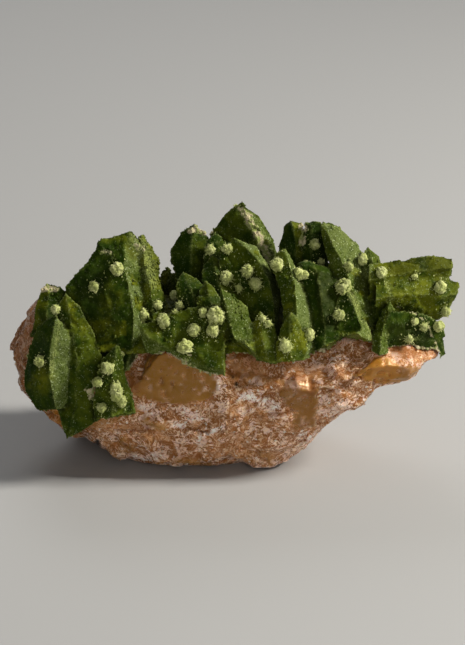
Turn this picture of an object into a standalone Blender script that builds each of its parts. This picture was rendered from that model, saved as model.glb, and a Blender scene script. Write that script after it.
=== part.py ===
"""A hand specimen of duftite with calcite: crystals coated green with duftite on broken honey calcite.

The specimen is drawn in millimetres and scaled to metres at the end. It stands on a flat cleavage face at z = 0,
with +X to the right of its front and +Y away from the viewer. The front is drawn as it is seen: a place on it is
(across, rise, depth), where across and rise are measured on a picture plane through the front of the foot, and
depth is the place's own Y. The back is drawn in the same way by an eye that looks the other way.
"""

import math
from dataclasses import dataclass

import bmesh
import bpy
from mathutils import Matrix, Vector, noise
from mathutils.bvhtree import BVHTree

MM = 0.001

# The front picture: the eye looks along +Y, down by EYE_ELEVATION, at the middle of the specimen's front.
EYE_ELEVATION = math.radians(20.0)
EYE_DISTANCE = 300.0
EYE_RISE = 19.2
FOOT_FRONT = -8.5

PICTURE_UP = Vector((0.0, math.sin(EYE_ELEVATION), math.cos(EYE_ELEVATION)))
TOWARDS_EYE = Vector((0.0, -math.cos(EYE_ELEVATION), math.sin(EYE_ELEVATION)))
PICTURE_ORIGIN = Vector((0.0, FOOT_FRONT, 0.0))
EYE = PICTURE_ORIGIN + PICTURE_UP * EYE_RISE + TOWARDS_EYE * EYE_DISTANCE

CALCITE_COLOUR = (0.40, 0.21, 0.10)
CALCITE_ROUGHNESS = 0.35
DUFTITE_COLOUR = (0.055, 0.12, 0.018)
DUFTITE_ROUGHNESS = 0.5

# Clearance between the crystals and the calcite, and the size below which points of a finished mesh are merged.
GAP = 0.32
MERGE = 0.00001
LEAST_TURN = 0.4


def on_picture(across, rise):
    """The point of the picture plane at (across, rise)."""
    return PICTURE_ORIGIN + Vector((across, 0.0, 0.0)) + PICTURE_UP * rise


def seen(across, rise, depth):
    """The point at that depth which the eye sees at (across, rise)."""
    ray = on_picture(across, rise) - EYE
    return EYE + ray * ((depth - EYE.y) / ray.y)


# Calcite matrix. Each station is a cross-section: x, bottom, waist and top heights, and front and back depths.
STATIONS = (
    (-28.5, 12.8, 13.2, 13.6, 0.4, 1.6),
    (-27.2, 8.6, 12.5, 16.0, -2.0, 5.0),
    (-24.4, 5.0, 10.5, 21.4, -4.6, 8.6),
    (-21.0, 2.6, 9.0, 20.0, -6.6, 11.0),
    (-15.0, -0.3, 9.5, 17.8, -9.6, 12.4),
    (-9.0, -1.2, 10.5, 17.6, -10.6, 13.0),
    (-2.0, -1.4, 10.5, 17.8, -11.2, 13.2),
    (5.0, -1.2, 11.5, 18.2, -11.2, 13.0),
    (9.5, 0.8, 12.5, 18.2, -10.9, 12.6),
    (14.0, 6.0, 13.8, 18.8, -10.6, 11.8),
    (18.0, 9.6, 14.2, 18.0, -10.0, 10.6),
    (22.5, 12.4, 14.6, 17.2, -8.4, 9.0),
    (25.6, 13.6, 14.8, 16.8, -6.4, 6.8),
    (26.9, 14.4, 15.0, 15.8, -3.6, 2.6),
)
MATRIX_RINGS = 32
MATRIX_SIDES = 26
SECTION_POWER = 0.78
LUMP_HEIGHT = 1.0
LUMP_SIZE = 6.5
LEDGE_HEIGHT = 0.5
LEDGE_SIZE = 2.6

# Smooth windows where the calcite broke along its cleavage: where each is seen, how far it reaches, its way.
WINDOWS = (
    (-6.4, 12.0, 5.6, (-0.04, -1.0, 0.06)),
    (1.6, 14.0, 2.4, (-0.30, -1.0, 0.20)),
    (8.8, 9.0, 3.2, (0.10, -1.0, -0.30)),
    (10.4, 13.2, 2.0, (0.24, -1.0, -0.10)),
    (18.2, 13.2, 2.6, (0.30, -1.0, -0.45)),
)


# The crust under the blades: its thickness, and the planes that end it.
BED_THICKNESS = 1.7
BED_RINGS = 24
BED_SIDES = 22
BED_ENDS = (
    ((0.0, 0.0, 16.2), (0.0, 0.0, -1.0)),
    ((0.0, -8.0, 16.0), (0.0, -1.0, -0.4)),
    ((0.0, 8.4, 16.0), (0.05, 1.0, -0.3)),
    ((-18.6, 2.0, 18.0), (-1.0, 0.35, 0.1)),
    ((23.2, 0.0, 18.0), (1.0, 0.2, 0.2)),
    ((17.4, 6.6, 18.0), (0.7, 1.0, 0.0)),
    ((14.0, -6.4, 17.0), (0.45, -0.9, -0.3)),
)


@dataclass
class Blade:
    """One coated crystal, drawn on the picture from its tip to its root.

    Each row is a section of it: across and rise of its left edge, of its ridge and of its right edge. The ridge runs
    from tip_depth to root_depth. The edges lie left_back and right_back behind it, and the keel lies behind them.
    """

    tip: tuple
    tip_depth: float
    root_depth: float
    rows: tuple
    left_back: float = 1.5
    right_back: float = 1.5
    keel: float = 2.6
    behind: bool = False


KEEL_SHARE = 0.3
BLADE_SIDES = 5

LEFT_BLADES = (
    Blade((-22.0, 20.4), -8.4, -11.0, (
        (-24.5, 18.9, -22.45, 18.2, -20.6, 18.4),
        (-25.6, 16.0, -22.9, 15.6, -19.95, 16.0),
        (-26.2, 13.0, -22.95, 12.8, -19.9, 13.0),
        (-26.2, 10.6, -22.5, 10.0, -20.4, 10.2),
        (-24.6, 8.0, -22.0, 8.2, -20.8, 8.4),
    ), 3.0, 1.2, 3.0),
    Blade((-20.9, 23.0), -6.4, -11.6, (
        (-22.2, 21.0, -20.6, 21.3, -18.9, 21.1),
        (-22.6, 18.0, -20.0, 18.0, -17.1, 17.7),
        (-22.8, 14.0, -19.4, 14.0, -16.2, 14.5),
        (-22.6, 10.0, -19.6, 10.0, -15.6, 10.6),
        (-21.6, 7.4, -20.0, 7.4, -15.8, 7.5),
        (-21.0, 4.6, -20.7, 4.5, -19.0, 5.2),
    ), 1.2, 0.9, 3.4),
    Blade((-12.4, 30.9), -1.0, -8.6, (
        (-16.4, 29.8, -13.4, 28.6, -11.6, 29.6),
        (-18.4, 26.8, -13.5, 26.2, -10.9, 25.8),
        (-21.0, 24.0, -12.9, 23.4, -10.5, 22.8),
        (-21.0, 20.0, -12.3, 20.4, -11.0, 19.8),
        (-18.6, 15.0, -12.4, 17.4, -11.4, 17.0),
        (-16.5, 11.0, -13.4, 13.0, -12.4, 13.0),
    ), 1.4, 2.0, 3.4),
    Blade((-11.3, 30.3), -0.4, -5.4, (
        (-12.4, 29.4, -11.2, 28.9, -9.9, 28.8),
        (-12.2, 27.0, -11.0, 26.6, -9.1, 27.2),
        (-11.6, 24.6, -10.4, 24.4, -9.0, 24.8),
        (-11.4, 21.8, -10.0, 21.6, -8.4, 22.2),
        (-11.0, 18.6, -9.8, 18.4, -8.4, 18.6),
    ), 0.8, 2.0, 2.8),
    Blade((-14.2, 16.8), -9.6, -12.0, (
        (-16.4, 14.8, -14.8, 14.6, -13.6, 14.6),
        (-17.0, 12.4, -15.0, 12.0, -13.0, 12.4),
        (-17.6, 9.6, -15.0, 9.6, -12.2, 10.0),
        (-17.6, 6.9, -15.0, 7.3, -12.0, 7.9),
    ), 0.8, 1.0, 3.0),
    Blade((-23.2, 24.3), -2.2, -6.4, (
        (-24.1, 23.4, -23.0, 23.0, -21.4, 23.9),
        (-24.8, 21.0, -23.2, 20.6, -20.0, 22.0),
        (-25.4, 17.4, -23.0, 17.0, -19.6, 18.0),
    ), 1.2, 1.4, 3.0),
)

CENTRE_BLADES = (
    Blade((-12.0, 18.9), -9.4, -11.7, (
        (-10.9, 15.4, -10.3, 17.2, -9.4, 19.7),
        (-8.4, 14.6, -7.8, 15.8, -6.8, 20.9),
        (-6.0, 13.5, -5.6, 14.7, -4.2, 21.3),
        (-3.2, 12.6, -3.0, 13.5, -2.2, 21.0),
        (-0.9, 12.4, -0.9, 13.0, -0.9, 19.6),
    ), 0.9, 3.4, 3.6),
    Blade((-8.4, 27.5), 2.4, -0.6, (
        (-9.3, 27.0, -8.5, 26.8, -7.6, 26.8),
        (-9.4, 25.0, -8.4, 25.0, -7.0, 25.2),
        (-9.2, 21.6, -8.0, 21.4, -6.4, 22.0),
    ), 0.8, 0.8, 2.4),
    Blade((-4.9, 31.6), 5.0, 1.6, (
        (-6.6, 30.5, -5.0, 30.2, -3.5, 30.9),
        (-7.9, 28.4, -5.2, 28.0, -2.5, 29.6),
        (-7.4, 25.8, -5.2, 25.4, -2.4, 26.4),
        (-6.8, 21.6, -5.0, 21.6, -2.6, 21.6),
    ), 1.4, 1.4, 3.0),
    Blade((1.2, 34.4), 6.0, 2.6, (
        (-1.0, 32.9, 1.7, 32.6, 3.5, 32.6),
        (-2.6, 30.8, 2.8, 30.2, 4.9, 30.4),
        (-3.6, 28.4, 3.8, 28.2, 5.7, 28.2),
        (-3.6, 25.0, 4.6, 26.0, 6.4, 25.6),
        (-2.0, 20.0, 4.4, 22.0, 6.4, 21.0),
    ), 2.2, 1.8, 3.4),
    Blade((0.2, 29.8), 0.4, -7.6, (
        (-1.4, 28.8, 1.6, 28.7, 2.9, 28.6),
        (-1.8, 26.8, 3.4, 26.8, 4.6, 26.4),
        (-0.8, 24.2, 4.7, 24.2, 5.7, 23.8),
        (1.0, 21.6, 5.3, 21.6, 6.2, 21.2),
        (2.6, 19.0, 5.4, 19.4, 6.0, 19.0),
        (3.0, 15.6, 4.6, 15.6, 5.6, 15.8),
    ), 1.6, 1.4, 3.0),
    Blade((-2.2, 30.6), 3.4, -1.4, (
        (-3.4, 29.4, -1.8, 29.0, -0.2, 29.5),
        (-3.8, 27.4, -1.6, 27.0, 0.4, 27.4),
        (-3.6, 23.6, -1.2, 23.6, 0.8, 24.2),
    ), 1.0, 1.0, 2.6),
    Blade((-2.6, 27.7), 0.6, -5.6, (
        (-3.8, 26.4, -2.2, 26.2, -0.6, 26.6),
        (-4.0, 24.4, -1.8, 24.2, 0.8, 24.8),
        (-3.0, 22.4, -0.8, 22.2, 1.9, 22.6),
        (-1.8, 19.2, 0.4, 19.0, 2.8, 19.4),
    ), 1.0, 1.2, 2.8),
    Blade((-6.2, 25.7), -1.0, -5.6, (
        (-7.0, 24.6, -5.8, 24.4, -4.4, 24.9),
        (-7.2, 22.8, -5.0, 22.8, -3.2, 23.4),
        (-6.6, 19.6, -4.0, 19.6, -1.6, 20.2),
    ), 1.0, 1.2, 2.6),
    Blade((-3.4, 24.5), -3.6, -8.0, (
        (-4.4, 23.2, -3.2, 23.2, -2.2, 23.5),
        (-4.4, 21.4, -2.6, 21.4, -1.2, 22.0),
        (-4.0, 18.4, -2.0, 18.4, 0.2, 19.0),
    ), 0.9, 1.0, 2.6),
    Blade((-1.6, 23.8), -8.0, -11.2, (
        (-1.8, 22.6, -1.2, 22.4, 0.2, 22.8),
        (-1.4, 20.6, -0.7, 20.6, 1.8, 21.0),
        (-1.0, 18.4, -0.2, 18.4, 2.8, 18.6),
        (-0.6, 17.0, 0.2, 17.1, 3.1, 16.8),
        (0.3, 16.4, 1.5, 16.7, 3.6, 14.5),
    ), 1.6, 1.6, 2.6),
    Blade((3.4, 21.0), -7.4, -11.2, (
        (2.4, 19.0, 3.6, 18.8, 5.2, 18.8),
        (2.2, 16.8, 3.9, 16.6, 6.0, 16.6),
        (2.8, 14.3, 4.6, 14.1, 6.6, 14.3),
    ), 0.8, 0.8, 2.4),
    Blade((6.4, 28.7), -2.8, -11.2, (
        (5.2, 27.8, 7.0, 27.0, 7.5, 27.0),
        (4.8, 26.0, 7.8, 24.6, 8.6, 24.6),
        (5.6, 23.6, 8.0, 22.2, 9.6, 22.2),
        (6.2, 20.6, 8.1, 19.8, 10.3, 19.8),
        (6.4, 17.6, 8.2, 17.2, 10.3, 17.4),
        (7.2, 14.4, 8.4, 14.2, 9.8, 14.6),
    ), 1.8, 1.8, 3.0),
    Blade((7.2, 20.6), -8.6, -11.6, (
        (6.0, 18.8, 7.2, 18.6, 8.8, 18.6),
        (5.4, 16.6, 7.2, 16.4, 9.6, 16.8),
        (5.6, 14.3, 7.4, 14.1, 9.2, 14.4),
    ), 0.8, 0.8, 2.4),
)

RIGHT_BLADES = (
    Blade((7.2, 32.0), 3.0, -0.4, (
        (6.3, 31.2, 7.5, 31.4, 8.8, 31.7),
        (5.6, 29.2, 7.9, 28.6, 9.3, 28.8),
        (5.8, 26.4, 8.0, 26.0, 9.4, 26.0),
        (6.2, 22.0, 8.0, 22.0, 9.4, 22.0),
    ), 1.6, 0.8, 2.8),
    Blade((10.0, 32.0), 2.2, -0.8, (
        (9.0, 31.7, 9.8, 31.3, 11.2, 31.8),
        (8.7, 29.0, 9.8, 28.6, 12.0, 29.0),
        (8.6, 24.0, 9.8, 24.0, 12.4, 24.0),
        (8.6, 18.6, 9.8, 18.4, 11.6, 18.6),
    ), 0.9, 0.9, 2.4),
    Blade((11.4, 32.1), 1.0, -7.8, (
        (10.8, 31.4, 11.6, 30.8, 13.2, 31.3),
        (11.0, 29.2, 12.6, 29.0, 15.6, 29.5),
        (11.6, 27.2, 13.6, 27.0, 16.8, 27.4),
        (12.6, 25.0, 14.6, 24.6, 17.1, 24.2),
        (14.0, 22.6, 15.6, 21.8, 17.4, 21.0),
        (15.4, 18.6, 16.6, 18.0, 17.8, 18.2),
    ), 1.4, 2.2, 3.0),
    Blade((16.9, 28.8), -1.2, -8.0, (
        (16.2, 27.8, 17.4, 27.4, 18.4, 27.5),
        (16.6, 25.0, 17.9, 25.0, 19.2, 25.0),
        (17.0, 22.0, 18.6, 22.0, 20.1, 22.0),
        (17.2, 19.4, 18.8, 19.0, 20.3, 19.4),
        (17.2, 15.8, 18.6, 15.6, 19.6, 16.0),
    ), 1.0, 1.4, 3.0),
    Blade((9.8, 27.1), -2.4, -10.2, (
        (8.0, 26.6, 10.4, 26.0, 12.4, 26.0),
        (8.4, 24.0, 10.9, 23.8, 13.3, 24.4),
        (9.2, 21.0, 11.2, 21.0, 13.8, 21.4),
        (9.6, 18.0, 11.6, 18.0, 14.0, 18.4),
        (9.8, 15.0, 11.4, 16.2, 14.0, 17.3),
    ), 1.2, 1.2, 3.0),
    Blade((14.2, 23.8), -5.2, -10.4, (
        (13.2, 22.4, 14.8, 22.2, 15.4, 22.0),
        (12.8, 20.4, 15.6, 20.4, 16.5, 20.0),
        (12.6, 18.4, 16.2, 18.4, 17.2, 18.4),
        (12.8, 17.3, 15.4, 17.9, 17.2, 16.7),
    ), 1.2, 1.0, 2.6),
    Blade((19.6, 22.2), -6.6, -10.0, (
        (18.6, 20.8, 19.4, 20.6, 20.4, 20.8),
        (17.7, 19.0, 18.9, 18.8, 20.2, 19.0),
        (17.3, 17.4, 18.5, 17.0, 19.6, 17.4),
        (17.4, 15.6, 18.4, 14.9, 19.4, 15.0),
    ), 1.2, 1.0, 2.6),
    Blade((28.0, 26.0), -1.6, -5.4, (
        (27.6, 27.4, 27.5, 26.0, 27.0, 24.4),
        (25.0, 27.6, 25.0, 25.8, 25.0, 23.6),
        (22.0, 27.4, 22.0, 25.4, 22.0, 23.0),
        (19.4, 26.9, 19.6, 25.0, 19.6, 22.4),
        (17.0, 26.6, 17.0, 24.4, 17.0, 21.6),
    ), 1.6, 0.8, 2.6),
    Blade((28.5, 23.6), -2.2, -6.2, (
        (28.3, 24.5, 28.0, 22.8, 26.9, 20.0),
        (26.4, 24.9, 26.0, 22.4, 25.6, 19.3),
        (23.0, 25.6, 23.0, 22.8, 23.0, 19.6),
        (20.4, 25.2, 20.4, 22.6, 20.4, 20.2),
        (17.8, 24.6, 17.8, 22.0, 17.8, 19.4),
    ), 1.5, 0.7, 2.6),
    Blade((26.8, 15.2), -4.6, -8.4, (
        (26.4, 19.0, 26.1, 16.8, 25.8, 14.5),
        (24.4, 20.2, 24.0, 17.0, 23.6, 14.4),
        (22.0, 20.8, 21.4, 17.2, 21.2, 13.9),
        (19.4, 20.8, 19.0, 17.2, 19.0, 14.8),
    ), 0.6, 0.6, 2.8),
)

BACK_BLADES = (
    Blade((-18.6, 22.6), -5.0, -8.6, (
        (-20.4, 20.4, -18.4, 20.2, -16.4, 20.8),
        (-21.8, 17.4, -18.6, 17.0, -15.0, 17.8),
        (-21.4, 13.0, -18.6, 12.6, -15.2, 13.4),
    ), 1.6, 1.6, 4.6, behind=True),
    Blade((-10.8, 25.4), -5.0, -10.0, (
        (-13.2, 22.6, -10.6, 22.4, -8.2, 23.0),
        (-15.4, 18.8, -10.8, 18.2, -6.4, 19.0),
        (-15.0, 13.4, -10.6, 12.8, -6.8, 13.8),
    ), 1.8, 1.8, 5.2, behind=True),
    Blade((-3.0, 24.8), -6.0, -11.0, (
        (-5.6, 22.2, -3.0, 21.8, -0.8, 22.6),
        (-7.6, 18.2, -3.2, 17.6, 1.2, 18.6),
        (-7.2, 13.2, -3.0, 12.4, 1.2, 13.6),
    ), 1.8, 1.8, 5.4, behind=True),
    Blade((4.2, 25.2), -5.4, -10.8, (
        (1.8, 22.6, 4.6, 22.2, 6.8, 22.8),
        (0.4, 18.6, 4.6, 18.0, 9.0, 18.8),
        (0.8, 12.8, 4.4, 12.0, 8.6, 13.0),
    ), 1.8, 1.8, 5.4, behind=True),
    Blade((12.2, 24.4), -4.6, -10.0, (
        (9.8, 22.0, 12.4, 21.6, 15.0, 22.0),
        (8.0, 18.2, 12.6, 17.6, 17.0, 18.0),
        (8.6, 12.6, 12.6, 12.0, 16.6, 12.8),
    ), 1.8, 1.8, 5.2, behind=True),
    Blade((18.6, 20.6), -4.2, -8.8, (
        (16.6, 18.8, 19.0, 18.4, 21.4, 18.6),
        (15.4, 15.4, 19.2, 14.8, 22.8, 15.2),
        (16.0, 10.8, 19.2, 10.6, 22.2, 11.0),
    ), 1.4, 1.4, 4.8, behind=True),
    Blade((-14.6, 21.0), -7.6, -10.6, (
        (-16.2, 19.0, -14.6, 18.6, -13.0, 19.2),
        (-17.0, 15.6, -14.8, 15.0, -12.4, 15.8),
        (-16.6, 12.0, -14.6, 11.6, -12.6, 12.2),
    ), 1.2, 1.2, 3.4, behind=True),
    Blade((0.8, 20.8), -9.4, -12.0, (
        (-1.0, 18.6, 0.8, 18.2, 2.8, 18.8),
        (-1.8, 14.8, 0.8, 14.2, 3.2, 15.0),
        (-1.4, 11.0, 0.8, 10.6, 2.8, 11.2),
    ), 1.2, 1.2, 3.4, behind=True),
    Blade((8.6, 20.6), -8.6, -11.4, (
        (6.8, 18.4, 8.6, 18.0, 10.6, 18.4),
        (6.0, 14.6, 8.6, 14.0, 11.2, 14.8),
        (6.4, 10.6, 8.6, 10.2, 10.8, 10.8),
    ), 1.2, 1.2, 3.4, behind=True),
)

# Pale duftite balls on the front: across, rise, radius, and height over width.
BALLS = (
    (-14.4, 25.9, 0.85, 1.0),
    (-17.3, 23.7, 0.65, 1.2),
    (-22.0, 20.9, 0.6, 1.0),
    (-23.9, 14.4, 0.75, 1.0),
    (-15.6, 13.5, 0.8, 1.0),
    (-16.8, 11.8, 0.65, 1.0),
    (-14.6, 10.6, 0.85, 1.6),
    (-16.3, 8.6, 0.6, 1.0),
    (-13.9, 9.4, 0.65, 1.2),
    (-11.1, 20.1, 0.75, 1.3),
    (-9.5, 21.4, 0.6, 1.0),
    (-8.6, 19.3, 0.8, 1.2),
    (-7.3, 22.6, 0.6, 1.0),
    (-6.5, 21.3, 0.55, 1.1),
    (-6.0, 16.1, 1.0, 0.8),
    (-4.8, 18.2, 0.8, 1.0),
    (-2.4, 18.2, 0.75, 1.2),
    (-3.7, 20.4, 0.6, 1.0),
    (-1.9, 20.0, 1.15, 1.0),
    (-2.7, 28.2, 0.6, 1.2),
    (-0.6, 28.4, 0.7, 1.0),
    (-0.75, 24.7, 0.8, 1.1),
    (0.8, 23.4, 0.5, 1.0),
    (1.9, 25.6, 0.75, 1.1),
    (2.9, 24.0, 0.75, 1.1),
    (3.7, 19.7, 0.45, 1.0),
    (4.4, 19.0, 0.5, 1.0),
    (5.6, 26.4, 0.85, 1.0),
    (8.1, 25.2, 0.65, 1.3),
    (9.1, 25.1, 0.5, 1.0),
    (6.7, 16.3, 0.8, 1.1),
    (9.4, 17.7, 0.75, 1.1),
    (10.2, 29.0, 0.7, 1.0),
    (11.0, 26.8, 0.5, 1.0),
    (14.4, 26.1, 0.6, 1.1),
    (16.4, 27.1, 0.6, 1.4),
    (14.0, 23.6, 1.0, 1.1),
    (13.4, 20.1, 0.7, 1.0),
    (18.6, 25.4, 0.7, 1.0),
    (22.7, 24.9, 0.45, 0.8),
    (25.9, 23.6, 0.75, 1.1),
    (26.6, 20.7, 0.6, 1.1),
    (25.7, 18.8, 0.7, 1.0),
    (22.7, 19.4, 0.5, 1.0),
    (23.8, 18.7, 0.55, 1.0),
    (22.0, 17.2, 0.55, 1.0),
)
BIG_BALL = 0.7
BALL_RISE = 0.3


def place(blade, across, rise, depth):
    """The point of a blade at (across, rise, depth) on its own picture."""
    point = seen(across, rise, depth)
    if blade.behind:
        point.rotate(Matrix.Rotation(math.pi, 3, "Z"))
    return point


def section_of(blade, index):
    """The five corners of a blade's section: left edge, ridge, right edge, and the two of its keel."""
    left_across, left_rise, ridge_across, ridge_rise, right_across, right_rise = blade.rows[index]
    widest = max(math.hypot(row[4] - row[0], row[5] - row[1]) for row in blade.rows)
    width = math.hypot(right_across - left_across, right_rise - left_rise) / widest
    share = (index + 1) / len(blade.rows)
    depth = blade.tip_depth + (blade.root_depth - blade.tip_depth) * share
    left = place(blade, left_across, left_rise, depth + blade.left_back * width)
    ridge = place(blade, ridge_across, ridge_rise, depth)
    right = place(blade, right_across, right_rise, depth + blade.right_back * width)
    away = -TOWARDS_EYE * (blade.keel * max(width, 0.3))
    if blade.behind:
        away.rotate(Matrix.Rotation(math.pi, 3, "Z"))
    inner_right = right.lerp(left, KEEL_SHARE) + away
    inner_left = left.lerp(right, KEEL_SHARE) + away
    return left, ridge, right, inner_right, inner_left


def blade_mesh(blade):
    """A bmesh of one blade: a five-sided cone, cut at every row, with its corners moved to their places."""
    bm = bmesh.new()
    levels = len(blade.rows)
    bmesh.ops.create_cone(bm, cap_ends=True, segments=BLADE_SIDES, radius1=1.0, radius2=0.0, depth=levels)
    bmesh.ops.translate(bm, vec=(0.0, 0.0, levels / 2), verts=bm.verts)
    for level in range(1, levels):
        everything = bm.verts[:] + bm.edges[:] + bm.faces[:]
        bmesh.ops.bisect_plane(bm, geom=everything, plane_co=(0.0, 0.0, level), plane_no=(0.0, 0.0, 1.0))
    sections = [section_of(blade, index) for index in range(levels)]
    for vertex in bm.verts:
        level = round(vertex.co.z)
        if level == levels:
            vertex.co = place(blade, *blade.tip, blade.tip_depth)
            continue
        turn = math.degrees(math.atan2(vertex.co.y, vertex.co.x)) - 90.0
        corner = round(turn / (360.0 / BLADE_SIDES)) % BLADE_SIDES
        vertex.co = sections[levels - 1 - level][corner]
    bmesh.ops.triangulate(bm, faces=bm.faces)
    bmesh.ops.recalc_face_normals(bm, faces=bm.faces)
    return bm


def cut_flat(bm, point, normal):
    """Cuts away what lies beyond a plane and closes the cut."""
    everything = bm.verts[:] + bm.edges[:] + bm.faces[:]
    cut = bmesh.ops.bisect_plane(bm, geom=everything, plane_co=point, plane_no=normal, clear_outer=True)
    edges = [piece for piece in cut["geom_cut"] if isinstance(piece, bmesh.types.BMEdge)]
    bmesh.ops.edgeloop_fill(bm, edges=edges)


def station_at(x):
    """The cross-section at x, read between the stations."""
    for low, high in zip(STATIONS, STATIONS[1:]):
        if x <= high[0]:
            share = min(1.0, max(0.0, (x - low[0]) / (high[0] - low[0])))
            return [a + (b - a) * share for a, b in zip(low[1:], high[1:])]
    return list(STATIONS[-1][1:])


def matrix_mesh(margin=0.0, rings=MATRIX_RINGS, sides=MATRIX_SIDES):
    """A bmesh of the calcite: a sphere drawn out along the stations, roughened, and cut along its cleavage.

    The margin grows it outwards, to make the cutter that clears the crystals from it.
    """
    bm = bmesh.new()
    bmesh.ops.create_uvsphere(bm, u_segments=sides, v_segments=rings, radius=1.0)
    bmesh.ops.rotate(bm, matrix=Matrix.Rotation(math.radians(90.0), 3, "Y"), verts=bm.verts)
    first, last = STATIONS[0][0], STATIONS[-1][0]
    for vertex in bm.verts:
        along = math.asin(max(-1.0, min(1.0, vertex.co.x))) / math.pi + 0.5
        x = first + (last - first) * along
        bottom, waist, top, front, back = station_at(x)
        reach = math.hypot(vertex.co.y, vertex.co.z)
        across = vertex.co.y / reach if reach > 1e-6 else 0.0
        upward = vertex.co.z / reach if reach > 1e-6 else 0.0
        if upward < 0:
            across = math.copysign(abs(across) ** SECTION_POWER, across)
            upward = -abs(upward) ** SECTION_POWER
        middle, half = (front + back) / 2, (back - front) / 2
        height = (top - waist) if upward > 0 else (waist - bottom)
        vertex.co = Vector((x, middle + half * across, waist + height * upward))
    bm.normal_update()
    for vertex in bm.verts:
        lump = noise.noise(vertex.co / LUMP_SIZE)
        ledge = noise.cell(vertex.co / LEDGE_SIZE) - 0.5
        vertex.co += vertex.normal * (lump * LUMP_HEIGHT + ledge * LEDGE_HEIGHT)
    flatten_windows(bm)
    cut_flat(bm, (0.0, 0.0, 0.0), (0.0, 0.0, -1.0))
    bmesh.ops.triangulate(bm, faces=bm.faces)
    bmesh.ops.recalc_face_normals(bm, faces=bm.faces)
    grow(bm, margin)
    return bm


def grow(bm, margin):
    """Moves every vertex outwards, so that each face beside it moves by at least the margin."""
    bm.normal_update()
    moves = []
    for vertex in bm.verts:
        normals = [face.normal for face in vertex.link_faces]
        outwards = sum(normals, Vector()).normalized()
        least = max(LEAST_TURN, min(outwards.dot(normal) for normal in normals))
        moves.append(outwards * (margin / least))
    for vertex, move in zip(bm.verts, moves):
        vertex.co += move


def bed_mesh():
    """A bmesh of the crust that the blades grow from: the calcite's top, thickened and cut off at its sides."""
    bm = matrix_mesh(BED_THICKNESS, BED_RINGS, BED_SIDES)
    for point, normal in BED_ENDS:
        cut_flat(bm, point, normal)
    bmesh.ops.triangulate(bm, faces=bm.faces)
    bmesh.ops.recalc_face_normals(bm, faces=bm.faces)
    return bm


def flatten_windows(bm):
    """Presses the calcite flat where a cleavage window is seen on its front."""
    tree = BVHTree.FromBMesh(bm)
    for across, rise, reach, normal in WINDOWS:
        centre = tree.ray_cast(EYE, (on_picture(across, rise) - EYE).normalized())[0]
        facing = Vector(normal).normalized()
        for vertex in bm.verts:
            offset = vertex.co - centre
            if offset.length < reach:
                vertex.co -= facing * offset.dot(facing)


def new_object(name, bm, collection):
    """Stores a bmesh as an object's mesh."""
    mesh = bpy.data.meshes.new(name)
    bm.to_mesh(mesh)
    bm.free()
    obj = bpy.data.objects.new(name, mesh)
    collection.objects.link(obj)
    return obj


def boolean(obj, operation, other=None, collection=None):
    """Joins other objects to obj, or cuts them from it, and keeps the result as its mesh."""
    modifier = obj.modifiers.new("boolean", "BOOLEAN")
    modifier.solver = "EXACT"
    modifier.operation = operation
    if collection:
        modifier.operand_type = "COLLECTION"
        modifier.collection = collection
    else:
        modifier.object = other
    graph = bpy.context.evaluated_depsgraph_get()
    graph.update()
    result = bpy.data.meshes.new_from_object(obj.evaluated_get(graph))
    obj.modifiers.clear()
    obj.data = result


def keep_largest(obj):
    """Scales an object to metres, merges its slivers and drops the chips that a cut leaves loose."""
    bm = bmesh.new()
    bm.from_mesh(obj.data)
    bmesh.ops.scale(bm, vec=(MM, MM, MM), verts=bm.verts)
    bmesh.ops.remove_doubles(bm, verts=bm.verts, dist=MERGE)
    unseen = set(bm.verts)
    bodies = []
    while unseen:
        stack = [unseen.pop()]
        body = set(stack)
        while stack:
            for edge in stack.pop().link_edges:
                for vertex in edge.verts:
                    if vertex in unseen:
                        unseen.remove(vertex)
                        body.add(vertex)
                        stack.append(vertex)
        bodies.append(body)
    bodies.sort(key=len, reverse=True)
    loose = [vertex for body in bodies[1:] for vertex in body]
    bmesh.ops.delete(bm, geom=loose, context="VERTS")
    bmesh.ops.triangulate(bm, faces=bm.faces)
    bm.to_mesh(obj.data)
    bm.free()


def ball_places(tree):
    """Centres for the balls on the surface that the eye sees: (centre, radius, height over width)."""
    found = []
    for across, rise, radius, stretch in BALLS:
        direction = (on_picture(across, rise) - EYE).normalized()
        point, normal, _, _ = tree.ray_cast(EYE, direction)
        found.append((point + normal * radius * BALL_RISE, radius, stretch))
    return found


def ball_mesh(centre, radius, stretch):
    """A bmesh of one duftite ball."""
    bm = bmesh.new()
    bmesh.ops.create_icosphere(bm, subdivisions=2 if radius > BIG_BALL else 1, radius=radius)
    bmesh.ops.scale(bm, vec=(1.0, 1.0, stretch), verts=bm.verts)
    bmesh.ops.translate(bm, vec=centre, verts=bm.verts)
    return bm


def finish(obj, colour, roughness):
    """Gives an object its material."""
    material = bpy.data.materials.new(obj.name)
    material.use_nodes = True
    shader = material.node_tree.nodes["Principled BSDF"]
    shader.inputs["Base Color"].default_value = (*colour, 1.0)
    shader.inputs["Roughness"].default_value = roughness
    shader.inputs["Metallic"].default_value = 0.0
    obj.data.materials.clear()
    obj.data.materials.append(material)


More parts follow.
